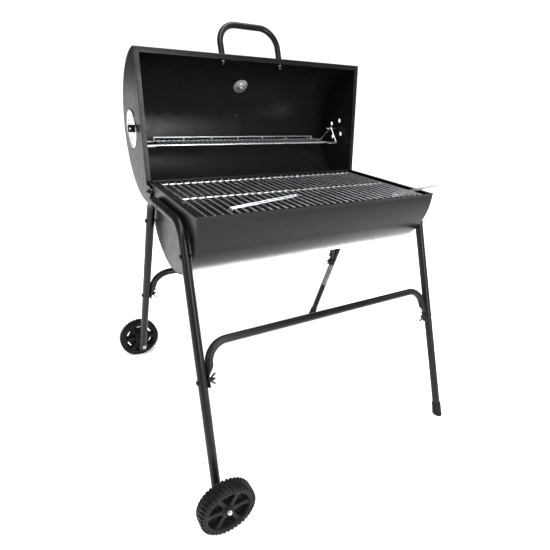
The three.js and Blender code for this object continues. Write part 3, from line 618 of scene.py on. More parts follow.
def bowl_end(word, way):
    """A pressed half disc, its flange folded inward, with holes for the leg bolts and the hinge."""
    radius = BOWL_RADIUS - SHEET - GAP
    fold = 3.0
    steps = []
    for i in range(7):
        lean = math.pi / 2 * i / 6
        steps.append((BOWL_HALF - fold * (1 - math.cos(lean)), fold * (1 - math.sin(lean))))
    steps += [(BOWL_HALF - END_FLANGE, 0.0), (BOWL_HALF - END_FLANGE, SHEET)]
    for i in range(4):
        lean = math.pi / 2 * (1 - i / 3)
        inset = SHEET + (fold - SHEET) * (1 - math.sin(lean))
        steps.append((BOWL_HALF - fold + (fold - SHEET) * math.cos(lean), inset))
    outlines = [(x, dee(radius, BAND, inset)) for x, inset in steps]
    holes = [circle(w * leg_y(LEG_BOLT_Z), LEG_BOLT_Z - BOWL_Z, HOLE) for w in (-1, 1)]
    holes.append(circle(HINGE_Y, HINGE_Z - BOWL_Z, HOLE))
    form = welded(dished_plate(outlines, holes, BOWL_HALF - SHEET, BOWL_HALF))
    make(f"bowl_{word}_end", transformed(form, move(0, 0, BOWL_Z) @ mirrored(way)), "black_paint")


def grate_rail(word, way):
    """An angle rail with a rounded fold, spot-welded to the bowl's end."""
    wall = BOWL_HALF - SHEET - GAP
    top = box_mm(f"{word}_grate_rail")[1].z
    outer = [(wall - 40, top), *arc(wall - 2.4, top - 2.4, 2.4, 90, 0, 6), (wall, top - 16)]
    inner = [(wall - SHEET, top - 16), *arc(wall - 2.4, top - 2.4, 0.9, 0, 90, 4), (wall - 40, top - SHEET)]
    rings = [[(way * x, y, z) for x, z in outer + inner] for y in (-150, -75, 0, 75, 150)]
    make(f"{word}_grate_rail", Form().loft(rings), "black_paint", soften=0.3)


# ---- Grates ----

def cooking_grate():
    """Parallel wires on three cross rods, with a bead of weld at each crossing."""
    form = Form()
    middle = (GRATE_WIRES - 1) / 2
    reach = middle * GRATE_PITCH + 2
    bead = [(-2.1, 0), (-1.4, 2.3), (0.2, 2.6), (1.8, 2.3), (2.4, 0)]
    for y in GRATE_CROSS_RODS:
        form.wire([(-reach, y, -3.9), (reach, y, -3.9)], 2.5)
    for i in range(GRATE_WIRES):
        x = (i - middle) * GRATE_PITCH
        form.wire([(x, -GRATE_HALF_DEPTH, 0), (x, GRATE_HALF_DEPTH, 0)], 2.0)
        for y in GRATE_CROSS_RODS:
            form.turned(bead, move(x, y, -2.0) @ turn(90, "Y"), 10)
    make("cooking_grate", transformed(form, move(0, 0, GRATE_Z)), "chrome_wire")


def grate_lifter(name, place):
    """A wire loop: hooked prongs, a soft rise and a round grip end."""
    low = 4.3
    high = low + LIFTER_RISE
    wide = 6.0
    tip = LIFTER_LENGTH - wide
    side = [(0, low - 13), (0, low - 3), (0.8, low - 0.8), (3, low), (30, low + 2.4)]
    side += [(60, low + 5.4), (120, low + 11.4), (170, high - 2.4), (tip - 4, high - 0.2)]
    path = [(x, -wide, z) for x, z in side]
    path += [(x, y, high) for x, y in arc(tip, 0, wide, -90, 90, 16)[1:-1]]
    path += [(x, wide, z) for x, z in reversed(side)]
    form = Form().wire(path, 2.0, sides=14)
    make(name, transformed(form, move(place[0], place[1], GRATE_Z)), "zinc_steel")


def charcoal_grate():
    form = Form()
    for x in COAL_CROSS_RODS:
        form.wire([(x, -141, -4), (x, 141, -4)], 2.5)
    for i in range(COAL_RODS):
        y = (i - (COAL_RODS - 1) / 2) * COAL_PITCH
        form.wire([(-COAL_HALF_LENGTH, y, 0), (COAL_HALF_LENGTH, y, 0)], 2.5)
    make("charcoal_grate", transformed(form, move(0, 0, COAL_Z)), "black_paint")


# ---- Stand ----

def collar(form, x, y):
    """A rolled ring round a leg's top bar, as a crimp leaves."""
    path = [(x, y + 3.4 * (i / 6 - 0.5), LEG_TOP_Z) for i in range(7)]
    form.tube(path, [LEG_RADIUS + 0.55 * math.sin(math.pi * i / 6) for i in range(7)], 28)


def leg(side_word, side, end_word, end):
    """A bent tube, crimped at its joint; the rear one carries the insert that the front one slides over."""
    foot_z = LEG_END_Z if side < 0 else CAP_SOLE
    joint_y = LEG_JOINT_Y - GAP if end < 0 else LEG_JOINT_Y
    x = side * LEG_TOP_X
    corners = [(x, joint_y, LEG_TOP_Z), (x, end * LEG_TOP_Y, LEG_TOP_Z), leg_point(side, end, foot_z)]
    form = Form().pipe(bent(corners, LEG_BEND, 20), LEG_RADIUS, TUBE_WALL)
    if end > 0:
        insert = [(x, LEG_JOINT_Y + 6, LEG_TOP_Z), (x, LEG_JOINT_Y - 30, LEG_TOP_Z)]
        form.pipe(insert, LEG_RADIUS - TUBE_WALL - GAP, TUBE_WALL)
    for away in ((9, 15) if end > 0 else (-16, -22)):
        collar(form, x, joint_y + away)
    make(f"{side_word}_{end_word}_leg", form, "black_paint")


def crossbar_x(z):
    return leg_x(z) - LEG_RADIUS - CROSSBAR_RADIUS - GAP


def crossbar(end_word, end):
    """A bent tube, its two ends pressed flat against the legs where they are bolted."""
    stations = ((-1, CROSSBAR_END_Z), (-1, CROSSBAR_Z), (1, CROSSBAR_Z), (1, CROSSBAR_END_Z))
    corners = [(side * crossbar_x(z), end * leg_y(z), z) for side, z in stations]
    path = bent(corners, CROSSBAR_BEND, 20)
    low = [path[0].lerp(path[1], i / 10) for i in range(10)]
    high = [path[-2].lerp(path[-1], i / 10) for i in range(1, 11)]
    form = Form().pipe(low + path[1:-1] + high, CROSSBAR_RADIUS, TUBE_WALL)
    least = PRESSED_THICKNESS / (2 * CROSSBAR_RADIUS)
    for p in form.points:
        share = min(1.0, max(0.0, (p.z - PRESSED_BELOW_Z) / (PRESSED_FROM_Z - PRESSED_BELOW_Z)))
        share = share * share * (3 - 2 * share)
        against = leg_x(p.z) - LEG_RADIUS - GAP
        p.x = math.copysign(against - (against - abs(p.x)) * (least + (1 - least) * share), p.x)
    make(f"{end_word}_crossbar", form, "black_paint")


def dome_profile(radius, height, steps=8):
    turns = [math.pi / 2 * i / steps for i in range(steps + 1)]
    return [(height * math.sin(t), radius * math.cos(t)) for t in turns]


def thread(start, stop, radius):
    """A screw thread's profile from start down to stop, both along X."""
    pitch = 1.0
    profile = []
    place = start
    while place - pitch > stop:
        profile += [(place, radius), (place - pitch * 0.5, radius - 0.35)]
        place -= pitch
    return profile + [(place, radius)]


def screw(head, height, shank, length, at, nut_from=0.0, nut=6.0):
    """A dome-headed bolt along +X with a threaded tip, and a washer and a hexagonal nut where asked for."""
    profile = [(-length, 0.0), (-length, shank - 0.7)]
    profile += thread(-length + 26, -length + 0.8, shank)[::-1]
    profile += [(0, shank), (0, head), (0.7, head + 0.25)]
    profile += along_x(0.7, dome_profile(head, height - 0.7))
    form = Form().turned(profile, at, 28)
    if nut_from:
        washer = [(0, shank), (0, nut + 1.6), (-1, nut + 1.6), (-1, shank), (0, shank)]
        hexagon = [(-1.1, shank), (-1.1, nut), (-4.4, nut), (-5, nut - 0.8), (-5, shank), (-1.1, shank)]
        form.turned(along_x(-nut_from, washer), at, 24)
        form.turned(along_x(-nut_from, hexagon), at, 6)
    return form


def on_leg(side, end, z, out):
    """A frame at a height on a leg and a distance out from its middle line, its X pointing away."""
    return move(side * (leg_x(z) + out), end * leg_y(z), z) @ facing(side)


def stand_bolts(side_word, side, end_word, end):
    place = f"{side_word}_{end_word}"
    out = LEG_RADIUS + GAP
    at = on_leg(side, end, LEG_BOLT_Z, out)
    nut_from = leg_x(LEG_BOLT_Z) + out - BOWL_HALF + SHEET + GAP
    make(f"{place}_leg_bolt", screw(6.5, 4, 3, 42, at, nut_from, 5.6), "black_paint")
    at = on_leg(side, end, CROSSBAR_BOLT_Z, out)
    make(f"{place}_crossbar_bolt", screw(6.5, 4, 3, 48, at), "black_paint")
    at = on_leg(side, end, CROSSBAR_BOLT_Z, -out - GAP - PRESSED_THICKNESS)
    make(f"{place}_wing_nut", wing_nut(at), "black_paint", soften=0.25)


def wing_nut(at):
    """A coned boss with two leaf-shaped wings."""
    form = Form().turned([(0, HOLE), (0, 7.4), (-1.6, 7.4), (-2.2, 6.6), (-9, 5.2), (-9.6, 4.7), (-9.6, HOLE),
                          (0, HOLE)], at, 24)
    for way in (-1, 1):
        spine = [(-3.6, 4.2), (-5.4, 7.4), (-8.2, 10.6), (-11.4, 13.4), (-14.4, 15.4), (-17.0, 16.4)]
        path = [(x, 0, way * z) for x, z in spine]
        form.tube(path, [3.4, 3.0, 3.2, 3.6, 3.2, 1.3], 12, flat=0.62, at=at)
    return form


def foot_cap(end_word, end):
    """A ribbed rubber boot on the leg's end, with a flat sole on the ground."""
    axis = (leg_point(1, end, 0) - leg_point(1, end, 100)).normalized()
    across = axis.cross(Vector((0, 1, 0))).normalized()
    up = axis.cross(across)
    profile = [(0.0, CAP_RADIUS - 1.2), (1.2, CAP_RADIUS), (7, CAP_RADIUS), (8, CAP_RADIUS - 0.9)]
    for z in (12, 18, 24, 30):
        profile += [(z - 1.6, CAP_RADIUS - 1.0), (z, CAP_RADIUS - 0.15), (z + 1.6, CAP_RADIUS - 1.0)]
    profile += [(35, CAP_RADIUS - 0.8), (37.5, CAP_RADIUS), (40.5, CAP_RADIUS), (CAP_TOP_Z, CAP_RADIUS - 0.9)]
    profile += [(CAP_TOP_Z, LEG_RADIUS + GAP), (CAP_SOLE + 1, LEG_RADIUS + GAP)]
    rings = []
    for z, radius in profile:
        centre = leg_point(1, end, z)
        level = max(0.0, 1 - z / 9)
        ring = []
        for i in range(40):
            t = 2 * math.pi * i / 40
            p = centre + (across * math.cos(t) + up * math.sin(t)) * radius
            ring.append(p + axis * ((z - p.z) / axis.z) * level)
        rings.append(ring)
    make(f"right_{end_word}_foot_cap", Form().loft(rings), "foot_rubber")


def blank_label():
    """A plain silver sticker wrapped round the rear right leg, without any print."""
    radius = LEG_RADIUS + 0.12
    start, stop = leg_point(1, 1, LABEL_TOP_Z), leg_point(1, 1, LABEL_BOTTOM_Z)
    axis = (stop - start).normalized()
    outward = Vector(LABEL_FACES)
    outward = (outward - axis * outward.dot(axis)).normalized()
    across = axis.cross(outward)
    turns = [math.radians(LABEL_HALF_WRAP * (2 * i / 16 - 1)) for i in range(17)]
    section = [(radius + 0.14, t) for t in turns] + [(radius, t) for t in reversed(turns)]
    rings = []
    for i in range(9):
        centre = start.lerp(stop, i / 8)
        rings.append([centre + (outward * math.cos(t) + across * math.sin(t)) * size for size, t in section])
    form = Form().loft(rings)
    make("right_rear_leg", form, "foil_label", extra="blank_leg_label")


# ---- Wheels ----

def tyre(form):
    """The rim and tread floor, with stepped sidewalls."""
    face = [(-3.2, RIM_INSIDE), (-1.4, RIM_INSIDE + 0.8), (-0.8, RIM_INSIDE + 2), (-0.8, 61.5), (-2.2, 62.2),
            (-2.2, 64.0), (-0.9, 64.8), (-1.2, 67.4), (-3.0, 69.4), (-5.5, TREAD_FLOOR)]
    profile = along_x(WHEEL_HALF, face)
    profile += [(-along, radius) for along, radius in reversed(profile)]
    profile.append(profile[0])
    form.turned(profile, segments=120)


def lug(form, middle, way):
    """One tread lug: half a chevron, from the centre of the tread over its shoulder."""
    low, high = TREAD_FLOOR - 1, WHEEL_RADIUS
    stations = [(0.0, 4.2, low, high, 3.3), (7.0, 1.8, low, high, 3.3), (13.5, -0.6, low, high - 0.2, 3.2),
                (17.2, -1.4, low - 1.4, 73.9, 3.0), (19.2, -1.6, 65.6, 71.8, 2.7),
                (19.9, -1.6, 66.2, 69.6, 2.1)]
    rings = []
    for along, lean, low, high, wide in stations:
        half_ring = [(low, wide + 0.9), (high - 0.5, wide), (high, wide - 0.5)]
        ring = []
        for radius, half in half_ring + [(radius, -half) for radius, half in reversed(half_ring)]:
            angle = middle + (lean + half) / radius
            ring.append((way * along, radius * math.cos(angle), radius * math.sin(angle)))
        rings.append(ring)
    form.loft(rings)


def spoke(form, angle):
    """A wide spoke that swells into the hub and into the rim."""
    stations = [(12, 9.0, 16), (15.5, 7.6, 15), (19, 6.6, 14), (26, 6.0, 13.2), (38, 6.0, 12.8),
                (47, 6.4, 13), (52, 7.6, 13.6), (55, 9.6, 14.4), (57.5, 12.0, 15)]
    corner = 1.6
    rings = []
    for radius, half, depth in stations:
        ring = []
        for quarter, (x_way, y_way) in enumerate(((1, 1), (1, -1), (-1, -1), (-1, 1))):
            for lean in (0, 30, 60, 90):
                t = math.radians(lean + 90 * quarter)
                ring.append((x_way * (depth - corner) + corner * math.sin(t), radius,
                             y_way * (half - corner) + corner * math.cos(t)))
        rings.append(ring)
    form.loft(rings, at=Matrix.Rotation(angle, 4, "X"))


def web(form):
    """The thin web between the spokes, with one rounded slot in each pocket."""
    slots = []
    for i in range(SPOKES):
        angle = 2 * math.pi * (i + 0.5) / SPOKES
        out = Vector((math.cos(angle), math.sin(angle)))
        along = Vector((-out.y, out.x))
        round_off = SLOT_WIDTH / 2
        end = SLOT_LENGTH / 2 - round_off
        slot = []
        for way in (1, -1):
            for lean in range(-90, 91, 30):
                t = math.radians(lean)
                corner = along * (end + round_off * math.cos(t)) - out * round_off * math.sin(t)
                slot.append(tuple(out * SLOT_RADIUS + corner * way))
        slots.append(slot)
    hub = circle(0, 0, HUB_RADIUS - 2, 36)
    form.slab(circle(0, 0, RIM_INSIDE + 1, 72), [hub, *slots], -WEB_HALF, WEB_HALF)


def wheel(end_word, end):
    """A moulded wheel about +X, then stood on the axle."""
    form = Form()
    tyre(form)
    for i in range(LUGS):
        middle = 2 * math.pi * i / LUGS
        lug(form, middle, 1)
        lug(form, middle + math.pi / LUGS, -1)
    for i in range(SPOKES):
        spoke(form, 2 * math.pi * i / SPOKES)
    web(form)
    half = WHEEL_HALF
    hub = HUB_RADIUS
    form.turned([(-half + 1, AXLE_HOLE), (-half, AXLE_HOLE + 1), (-half, hub - 1.4), (-half + 1.4, hub),
                 (half - 1.4, hub), (half, hub - 1.4), (half, 11.6), (half - 3.4, 10.8),
                 (half - 3.4, AXLE_HOLE), (-half + 1, AXLE_HOLE)], segments=48)
    at = move(-leg_x(WHEEL_Z), end * WHEEL_Y, WHEEL_Z) @ turn(90 * end, "Z")
    make(f"{end_word}_wheel", transformed(form, at), "black_plastic", crease=30)


def axle(end_word, end):
    """A hexagon-headed bolt with its nut, and the sleeve between wheel and leg."""
    x = -leg_x(WHEEL_Z)
    at = move(x, end * (WHEEL_Y + WHEEL_HALF + GAP), WHEEL_Z) @ turn(90 * end, "Z")
    low, high = box_mm(f"{end_word}_axle_bolt")
    length = high.y - low.y - 5
    rod = AXLE_RADIUS
    form = Form().turned([(0, 6.6), (0.9, 6.4), (0.9, rod), (0, rod), (0, 6.6)], at, 32)
    form.turned([(0.9, 0), (0.9, 5.2), (4.0, 5.2), (4.9, 4.4), (4.9, 0)], at, 6)
    threaded = thread(-length + 14, -length + 1, rod)
    form.turned([(-length, 0), (-length, rod - 0.8), *threaded[::-1], (-length + 14, rod), (1, rod)], at, 24)
    nut = [(0, rod), (0, 7.5), (-4.2, 7.5), (-5, 6.6), (-5, rod), (0, rod)]
    form.turned(along_x(9 - length, nut), at, 6)
    make(f"{end_word}_axle_bolt", form, "zinc_steel")
    low, high = box_mm(f"{end_word}_axle_spacer")
    sleeve = Form().pipe([(x, low.y, WHEEL_Z), (x, high.y, WHEEL_Z)], 7.5, 7.5 - AXLE_HOLE)
    make(f"{end_word}_axle_spacer", sleeve, "zinc_steel")


# ---- Lid, built closed about the barrel's axis, then turned open about the hinges ----

TO_HINGE = move(0, HINGE_Y, HINGE_Z) @ Matrix.Rotation(-LID_OPEN, 4, "X")
BARREL = TO_HINGE @ move(0, -HINGE_Y, HINGE_BELOW_LID)
VENT_AXIS = BARREL @ Vector((0, 0, VENT_HEIGHT))


def around(degrees_from_front):
    """From a piece made along the lid's +Y radius to its place round the lid."""
    return BARREL @ turn(180 - degrees_from_front, "X")


def lid_section(lip):
    """The lid's section. The front lip reaches inward by the given length, the rear lip less far."""
    rear = min(lip, LID_REAR_LIP)
    fold = min(LID_FOLD, lip)
    corner = LID_RADIUS - fold
    edge = math.degrees(math.asin(fold / LID_RADIUS))
    under = [(LID_RADIUS - rear, 0.0), *arc(corner, fold, fold, 270, 360, 8)]
    over = [*arc(corner, fold, max(fold - SHEET, 0.05), 360, 270, 6), (LID_RADIUS - rear, SHEET)]
    front_under = [(-y, z) for y, z in reversed(under[1:])] + [(lip - LID_RADIUS, 0.0)]
    front_over = [(lip - LID_RADIUS, SHEET)] + [(-y, z) for y, z in reversed(over[:-1])]
    outside = arc(0, 0, LID_RADIUS, edge, 180 - edge, ARC_STEPS)
    inside = arc(0, 0, LID_RADIUS - SHEET, 180 - edge, edge, ARC_STEPS)
    return under + outside + front_under + front_over + inside + over


def lid_shell():
    """A rolled sheet, its two long edges folded in as lips that stop short of the end plates."""
    clear = LID_HALF - LID_LIP
    short = LID_FOLD + 0.1
    stations = [(-LID_HALF, short), (-clear - 0.02, short), (-clear, LID_LIP)]
    stations += [(-clear + 2 * clear * i / 8, LID_LIP) for i in range(1, 8)]
    stations += [(clear, LID_LIP), (clear + 0.02, short), (LID_HALF, short)]
    rings = [at_x(x, lid_section(lip)) for x, lip in stations]
    make("lid_shell", Form().loft(rings, at=BARREL), "black_paint", crease=40)


def vent_holes(radius):
    turns = [VENT_TURN + math.pi / 2 * i for i in range(4)]
    return [(VENT_CIRCLE * math.cos(t), VENT_CIRCLE * math.sin(t), radius) for t in turns]


def lid_end(word, way):
    """A pressed plate with a hinge ear, vent holes and a folded lip along the opening."""
    radius = LID_RADIUS - SHEET - GAP
    low = -HINGE_BELOW_LID
    outline = arc(0, 0, radius, 0, 180, ARC_STEPS)
    outline += [(HINGE_Y - EAR_RADIUS - 8, 0.0), *arc(HINGE_Y - EAR_RADIUS - 8, -8, 8, 90, 0, 6)[1:]]
    outline += arc(HINGE_Y, low, EAR_RADIUS, 180, 360, 24)
    holes = [circle(HINGE_Y, low, HOLE), circle(0, VENT_HEIGHT, PIVOT_HOLE)]
    holes += [circle(y, VENT_HEIGHT + z, r, 28) for y, z, r in vent_holes(VENT_HOLE)]
    form = Form().slab(outline, holes, LID_HALF - SHEET, LID_HALF)
    corner = arc(LID_HALF - 2.4, 2.4, 2.4, 0, -90, 6)
    inside = arc(LID_HALF - 2.4, 2.4, 0.9, -90, 0, 4)
    section = [(LID_HALF, 3.0), *corner, (LID_HALF - LID_LIP, 0), (LID_HALF - LID_LIP, SHEET), *inside,
               (LID_HALF - SHEET, 3.0)]
    form.loft([[(x, y, z) for x, z in section] for y in (-radius + 1, -70, 40, LIP_NOTCH_Y)])
    make(f"lid_{word}_end", transformed(form, BARREL @ mirrored(way)), "black_paint")


def lid_handle():
    """A bent tube, with a pressed washer under each foot."""
    half = HANDLE_SPREAD / 2
    foot = LID_RADIUS + 0.5
    top = LID_RADIUS + HANDLE_REACH - HANDLE_RADIUS
    corners = [(-half, foot, 0), (-half, top, 0), (half, top, 0), (half, foot, 0)]
    form = Form().pipe(bent(corners, HANDLE_BEND, 24), HANDLE_RADIUS, TUBE_WALL, 32)
    for x in (-half, half):
        form.turned([(0.1, 3), (0.1, 12.2), (1.0, 12.4), (2.0, 11.4), (2.6, 9.7), (2.6, 3), (0.1, 3)],
                    move(x, foot, 0) @ turn(90, "Z"), 36)
    make("lid_handle", transformed(form, around(HANDLE_TURN)), "black_paint")


def lid_screws():
    inside = LID_RADIUS - SHEET - 0.6
    for word, way in SIDES:
        at = around(HANDLE_TURN) @ move(way * HANDLE_SPREAD / 2, inside, 0) @ turn(-90, "Z")
        make(f"{word}_handle_screw", screw(5.2, 3, 2.5, 16, at), "zinc_steel")
    at = around(CENTRE_SCREW_TURN) @ move(0, LID_RADIUS + 0.6, 0) @ turn(90, "Z")
    make("lid_centre_screw", screw(4.4, 3, 2.1, 12, at), "zinc_steel")


def thermometer():
    """A round dial in a bright bezel, on a stem through the lid, with a back plate inside."""
    base = LID_RADIUS + 1.8
    rim = DIAL_RADIUS
    at = around(THERMOMETER_TURN) @ turn(90, "Z")
    housing = [(-20, 0), (-19.4, 2.2), (-18, 3.5), (0, 3.5), (0, rim - 1.6), (1.6, rim), (11.6, rim),
               (13.2, rim - 0.5), (14, rim - 1.6), (13.4, rim - 2.6), (12.6, rim - 3), (4, rim - 3), (4, 0)]
    make("thermometer_housing", Form().turned(along_x(base, housing), at, 64), "chrome_plate")
    dial = [(4.3, 0), (4.3, rim - 3.4), (5.1, rim - 3.4), (5.5, rim - 4), (5.5, 0)]
    make("thermometer_dial", Form().turned(along_x(base, dial), at, 64), "dial_face")
    lens = [(10, 0), (10, rim - 3.4), (12, rim - 3.4), (12.4, rim - 12), (12.7, rim - 20), (12.8, 0)]
    make("thermometer_lens", Form().turned(along_x(base, lens), at, 64), "clear_glass")
    plate = [(-11, 3.9), (-11.4, 5), (-11, 8), (-8.6, 9.6), (-6.2, 12), (-5.2, 17), (-4.6, rim - 3),
             (-4.2, rim - 1.4), (-3.4, rim - 1), (-3, rim - 1.6), (-3, 3.9), (-11, 3.9)]
    form = Form().turned(along_x(LID_RADIUS - SHEET, plate), at, 64)
    make("thermometer_back_plate", form, "dull_plate")
    boss = [(6.6, 0), (6.6, 2.4), (7.8, 2.4), (8.2, 1.6), (8.2, 0)]
    needle = Form().turned(along_x(base, boss), at, 24)
    spine = [(0, base + 7.4, z) for z in (4, -2, -16)]
    needle.tube(spine, [1.0, 1.2, 0.35], 10, at=around(THERMOMETER_TURN))
    make("thermometer_needle", needle, "needle_paint")
    thermometer_ticks(base)


def thermometer_ticks(base):
    """Plain graduation marks on the dial: a long one every fifth, without figures."""
    form = Form()
    on_dial = around(THERMOMETER_TURN) @ move(0, base + 5.5, 0)
    for i in range(DIAL_MARKS):
        angle = DIAL_SWEEP * (i / (DIAL_MARKS - 1) - 0.5)
        inner, half = (15.6, 0.5) if i % 5 == 0 else (18.2, 0.24)
        form.block((-half, 0, inner), (half, 0.12, 21.4), on_dial @ turn(angle, "Y"))
    make("thermometer_dial", form, "black_plastic", extra="thermometer_dial_marks")


def vent_damper():
    """A pressed disc: a flat ring with four holes, a raised rim and a shallow dome at its pivot."""
    holes = [circle(y, z, r, 28) for y, z, r in vent_holes(VENT_HOLE)] + [circle(0, 0, PIVOT_HOLE, 24)]
    form = Form().slab(circle(0, 0, 50.0, 64), holes, GAP, GAP + VENT_SHEET)
    rim = [(VENT_SHEET, 49.6), (2.2, 51.4), (2.5, 53.4), (2.2, 55.6), (1.0, VENT_RADIUS),
           (0, VENT_RADIUS - 0.2), (0, VENT_RADIUS - 1.4), (0.7, 55.0), (VENT_SHEET, 53.4), (0, 49.6),
           (VENT_SHEET, 49.6)]
    form.turned(along_x(GAP, rim), segments=96)
    dome = [(VENT_SHEET, 14.0), (1.9, 11.0), (2.1, 7.6), (2.1, 3.4), (1.1, 3.4), (1.1, 14.0),
            (VENT_SHEET, 14.0)]
    form.turned(along_x(GAP, dome), segments=48)
    return form


def vent_tab():
    """A moulded grip on the disc, with rounded corners and a small hole."""
    back = GAP + VENT_SHEET + GAP
    form = Form().block((back, -9, -54), (back + 1.5, 9, -42))
    rounded = [*arc(back + 15, -6, 5, 270, 360, 6), *arc(back + 15, 6, 5, 0, 90, 6)]
    outline = [(back, -11.0), (back + 14, -11.0), *rounded, (back + 14, 11.0), (back, 11.0)]
    lie_flat = move(0, 0, -42.5) @ Matrix(((0, 1, 0, 0), (0, 0, 1, 0), (1, 0, 0, 0), (0, 0, 0, 1)))
    form.slab(outline, [circle(back + 13, 0, 3.0, 20)], -1.0, 1.0, lie_flat)
    for y in (-8.5, 7.1):
        form.block((back, y, -42.6), (back + 2.6, y + 1.4, -37.5))
    return form


def vents():
    for word, way in SIDES:
        at = BARREL @ move(way * LID_HALF, 0, VENT_HEIGHT) @ mirrored(way)
        make(f"{word}_vent_damper", transformed(vent_damper(), at), "chrome_plate")
        make(f"{word}_vent_tab", transformed(vent_tab(), at), "black_plastic", soften=0.4)
        form = screw(7, 3.5, 3, 49.5, move(2.6, 0, 0))
        make(f"{word}_vent_pivot_bolt", transformed(form, at), "zinc_steel")


def rack_hanger(form, side, reach):
    """One hanger: a toe under the front rod, a loop over the pivot bolt and a run by the rear rod."""
    x = side * RACK_HALF
    shelf = -RACK_DROP
    y, z = RACK_FRONT + 3, shelf - 3.4
    path = [(x - side * RACK_TOE, y, z), (x - side * 5, y, z), (x - side * 1.4, y - 0.2, z + 1.2)]
    path.append((x, y - 0.6, z + 4))
    path += at_x(x, arc(0, 0, PIVOT_HOLE + RACK_ROD + 0.6, 180, 0, 16))
    path += [(x, RACK_REAR - 0.6, shelf + 3), (x - side * 1.4, RACK_REAR, shelf + 0.2)]
    path += [(x - side * 5, RACK_REAR, shelf - 1), (side * (reach - 2), RACK_REAR, shelf - 1)]
    form.wire(path, RACK_ROD, sides=14)


def warming_rack():
    """A shelf of bright wire with a low fence, hung on the pivot bolts."""
    form = Form()
    shelf = -RACK_DROP
    middle = (RACK_WIRES - 1) / 2
    reach = middle * RACK_PITCH + 3
    rods = [(RACK_HALF + 2, RACK_FRONT, shelf), (reach, RACK_REAR, shelf)]
    rods.append((reach, RACK_REAR + 1, shelf + RACK_FENCE))
    for half, y, z in rods:
        form.wire([(-half, y, z), (half, y, z)], RACK_ROD)
    z = shelf + 2.6
    for i in range(RACK_WIRES):
        x = (i - middle) * RACK_PITCH
        path = [(x, RACK_FRONT - 1.5, z), (x, RACK_REAR + 2.6, z)]
        if i % 6 == 0 or i == RACK_WIRES - 1:
            upright = [(x, RACK_REAR + 2.2, z), (x, RACK_REAR + 2.4, shelf + RACK_FENCE + 1)]
            path = bent([path[0], *upright], 2.4, 6)
        form.wire(path, RACK_WIRE)
    for side in (-1, 1):
        rack_hanger(form, side, reach)
    make("warming_rack", transformed(form, move(0, VENT_AXIS.y, VENT_AXIS.z)), "chrome_wire")


def hinges():
    for word, way in SIDES:
        outside = LID_HALF + GAP
        nut_from = outside - (BOWL_HALF - SHEET - GAP)
        at = move(way * outside, HINGE_Y, HINGE_Z) @ facing(way)
        make(f"{word}_hinge_bolt", screw(7, 4.5, 3, nut_from + 9, at, nut_from, 5.8), "black_paint")
        low, high = box_mm(f"{word}_hinge_spacer")
        ends = [(x - MID_X, HINGE_Y, HINGE_Z) for x in (low.x, high.x)]
        make(f"{word}_hinge_spacer", Form().pipe(ends, 7, 7 - HOLE), "zinc_steel")


# ---- The whole grill ----

def grill():
    bowl_shell()
    charcoal_grate()
    cooking_grate()
    for name, place in LIFTERS.items():
        grate_lifter(name, place)
    lid_shell()
    lid_handle()
    lid_screws()
    thermometer()
    vents()
    warming_rack()
    hinges()
    for side_word, side in SIDES:
        bowl_end(side_word, side)
        grate_rail(side_word, side)
        lid_end(side_word, side)
        for end_word, end in ENDS:
            leg(side_word, side, end_word, end)
            stand_bolts(side_word, side, end_word, end)
    for end_word, end in ENDS:
        crossbar(end_word, end)
        foot_cap(end_word, end)
        wheel(end_word, end)
        axle(end_word, end)
    blank_label()


# ---- Studio: a white sweep in a dark room, so gloss reflects the floor and the lamps only ----

BACKDROP = 1.15
DARK_ROOM = 0.05
FLOOR_LOW = (-60.0, -2.7)
FLOOR_HIGH = (60.0, 60.0)
GLOW_PLACE = Vector((0.55, 0.62, 0.003))
EYE = (-0.7031, -1.1030, 1.0378)
EYE_TURNS = (-31.597, -24.580, 3.349)
LENS = 27.856
LENS_SHIFT = (-0.0036, 0.0079)


def pale_floor():
    mesh = bpy.data.meshes.new("floor")
    (x0, y0), (x1, y1) = FLOOR_LOW, FLOOR_HIGH
    mesh.from_pydata([(x0, y0, 0), (x1, y0, 0), (x1, y1, 0), (x0, y1, 0)], [], [[0, 1, 2, 3]])
    g = Graph("pale_floor")
    colour = g.blend(g.noise(3.0, 3.0), (0.86, 0.86, 0.86), (0.89, 0.89, 0.89))
    mesh.materials.append(g.paint(colour, g.spread(g.noise(40.0), 0.3, 0.7, 0.7, 0.85)))
    floor = bpy.data.objects.new("floor", mesh)
    bpy.context.scene.collection.objects.link(floor)


def area_light(name, place, aim, width, height, power):
    light = bpy.data.lights.new(name, "AREA")
    light.shape = "RECTANGLE"
    light.size = width
    light.size_y = height
    light.energy = power
    lamp = bpy.data.objects.new(name, light)
    lamp.location = place
    lamp.rotation_mode = "QUATERNION"
    lamp.rotation_quaternion = (Vector(aim) - Vector(place)).to_track_quat("-Z", "Y")
    bpy.context.scene.collection.objects.link(lamp)
    return lamp


def only_lights(lamp, *names):
    """Keeps a lamp's light to a few pieces, and the lamp itself out of the picture."""
    lit = bpy.data.collections.new(f"{lamp.name}_lights")
    for name in names:
        lit.objects.link(bpy.data.objects[name])
    lamp.light_linking.receiver_collection = lit
    lamp.visible_camera = False


def sky_light(strength, angle, direction):
    light = bpy.data.lights.new("overcast", "SUN")
    light.energy = strength
    light.angle = math.radians(angle)
    lamp = bpy.data.objects.new("overcast", light)
    lamp.rotation_mode = "QUATERNION"
    lamp.rotation_quaternion = Vector(direction).to_track_quat("-Z", "Y")
    bpy.context.scene.collection.objects.link(lamp)


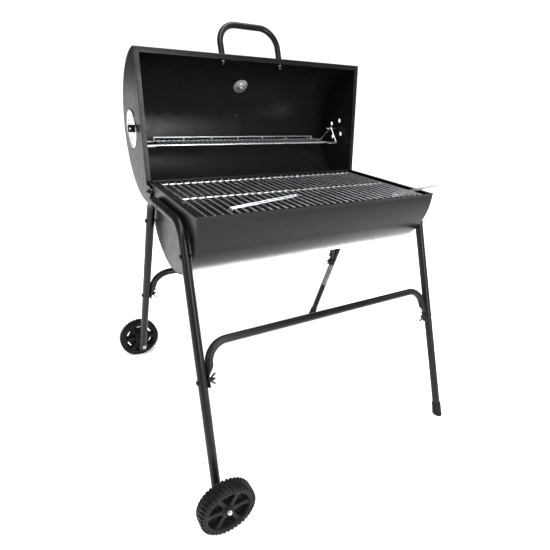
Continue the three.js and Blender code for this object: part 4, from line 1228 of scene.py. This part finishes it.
def studio():
    world = bpy.data.worlds.new("studio")
    world.use_nodes = True
    tree = world.node_tree
    background = tree.nodes["Background"]
    background.inputs["Color"].default_value = (1, 1, 1, 1)
    path = tree.nodes.new("ShaderNodeLightPath")
    strength = tree.nodes.new("ShaderNodeMapRange")
    strength.inputs["To Min"].default_value = BACKDROP
    strength.inputs["To Max"].default_value = DARK_ROOM
    tree.links.new(path.outputs["Is Glossy Ray"], strength.inputs["Value"])
    tree.links.new(strength.outputs["Result"], background.inputs["Strength"])
    bpy.context.scene.world = world
    bpy.context.scene.view_settings.view_transform = "Standard"
    pale_floor()
    sky_light(1.9, 30, (0.25, 0.5, -1.0))
    area_light("front_softbox", (0.33, -2.7, 1.2), (-0.3, 0.2, 0.9), 0.6, 1.5, 60)
    area_light("left_softbox", (-2.6, -1.2, 2.0), (0, 0, 0.6), 0.7, 2.2, 40)
    area_light("right_strip", (2.6, -0.9, 1.7), (0, 0, 0.7), 0.35, 2.0, 24)
    glow = area_light("floor_glow", GLOW_PLACE, GLOW_PLACE + Vector((0, 0, 0.997)), 1.5, 0.9, 22)
    only_lights(glow, "bowl_shell_detail")
    area_light("top_softbox", (0.2, -0.1, 3.2), (0, 0, 0.6), 2.4, 1.4, 110)


def camera():
    """A view from the front left and above."""
    yaw, pitch, roll = (math.radians(a) for a in EYE_TURNS)
    forward = Vector((math.sin(-yaw) * math.cos(pitch), math.cos(yaw) * math.cos(pitch), math.sin(pitch)))
    right = Vector((math.cos(yaw), math.sin(yaw), 0))
    up = right.cross(forward)
    across = right * math.cos(roll) + up * math.sin(roll)
    upright = up * math.cos(roll) - right * math.sin(roll)
    lens = bpy.data.cameras.new("camera")
    lens.lens = LENS
    lens.sensor_width = 36
    lens.shift_x, lens.shift_y = LENS_SHIFT
    eye = bpy.data.objects.new("camera", lens)
    turned = Matrix((across, upright, -forward)).transposed().to_4x4()
    eye.matrix_world = Matrix.Translation(EYE) @ turned
    bpy.context.scene.collection.objects.link(eye)
    bpy.context.scene.camera = eye


grill()
studio()
camera()
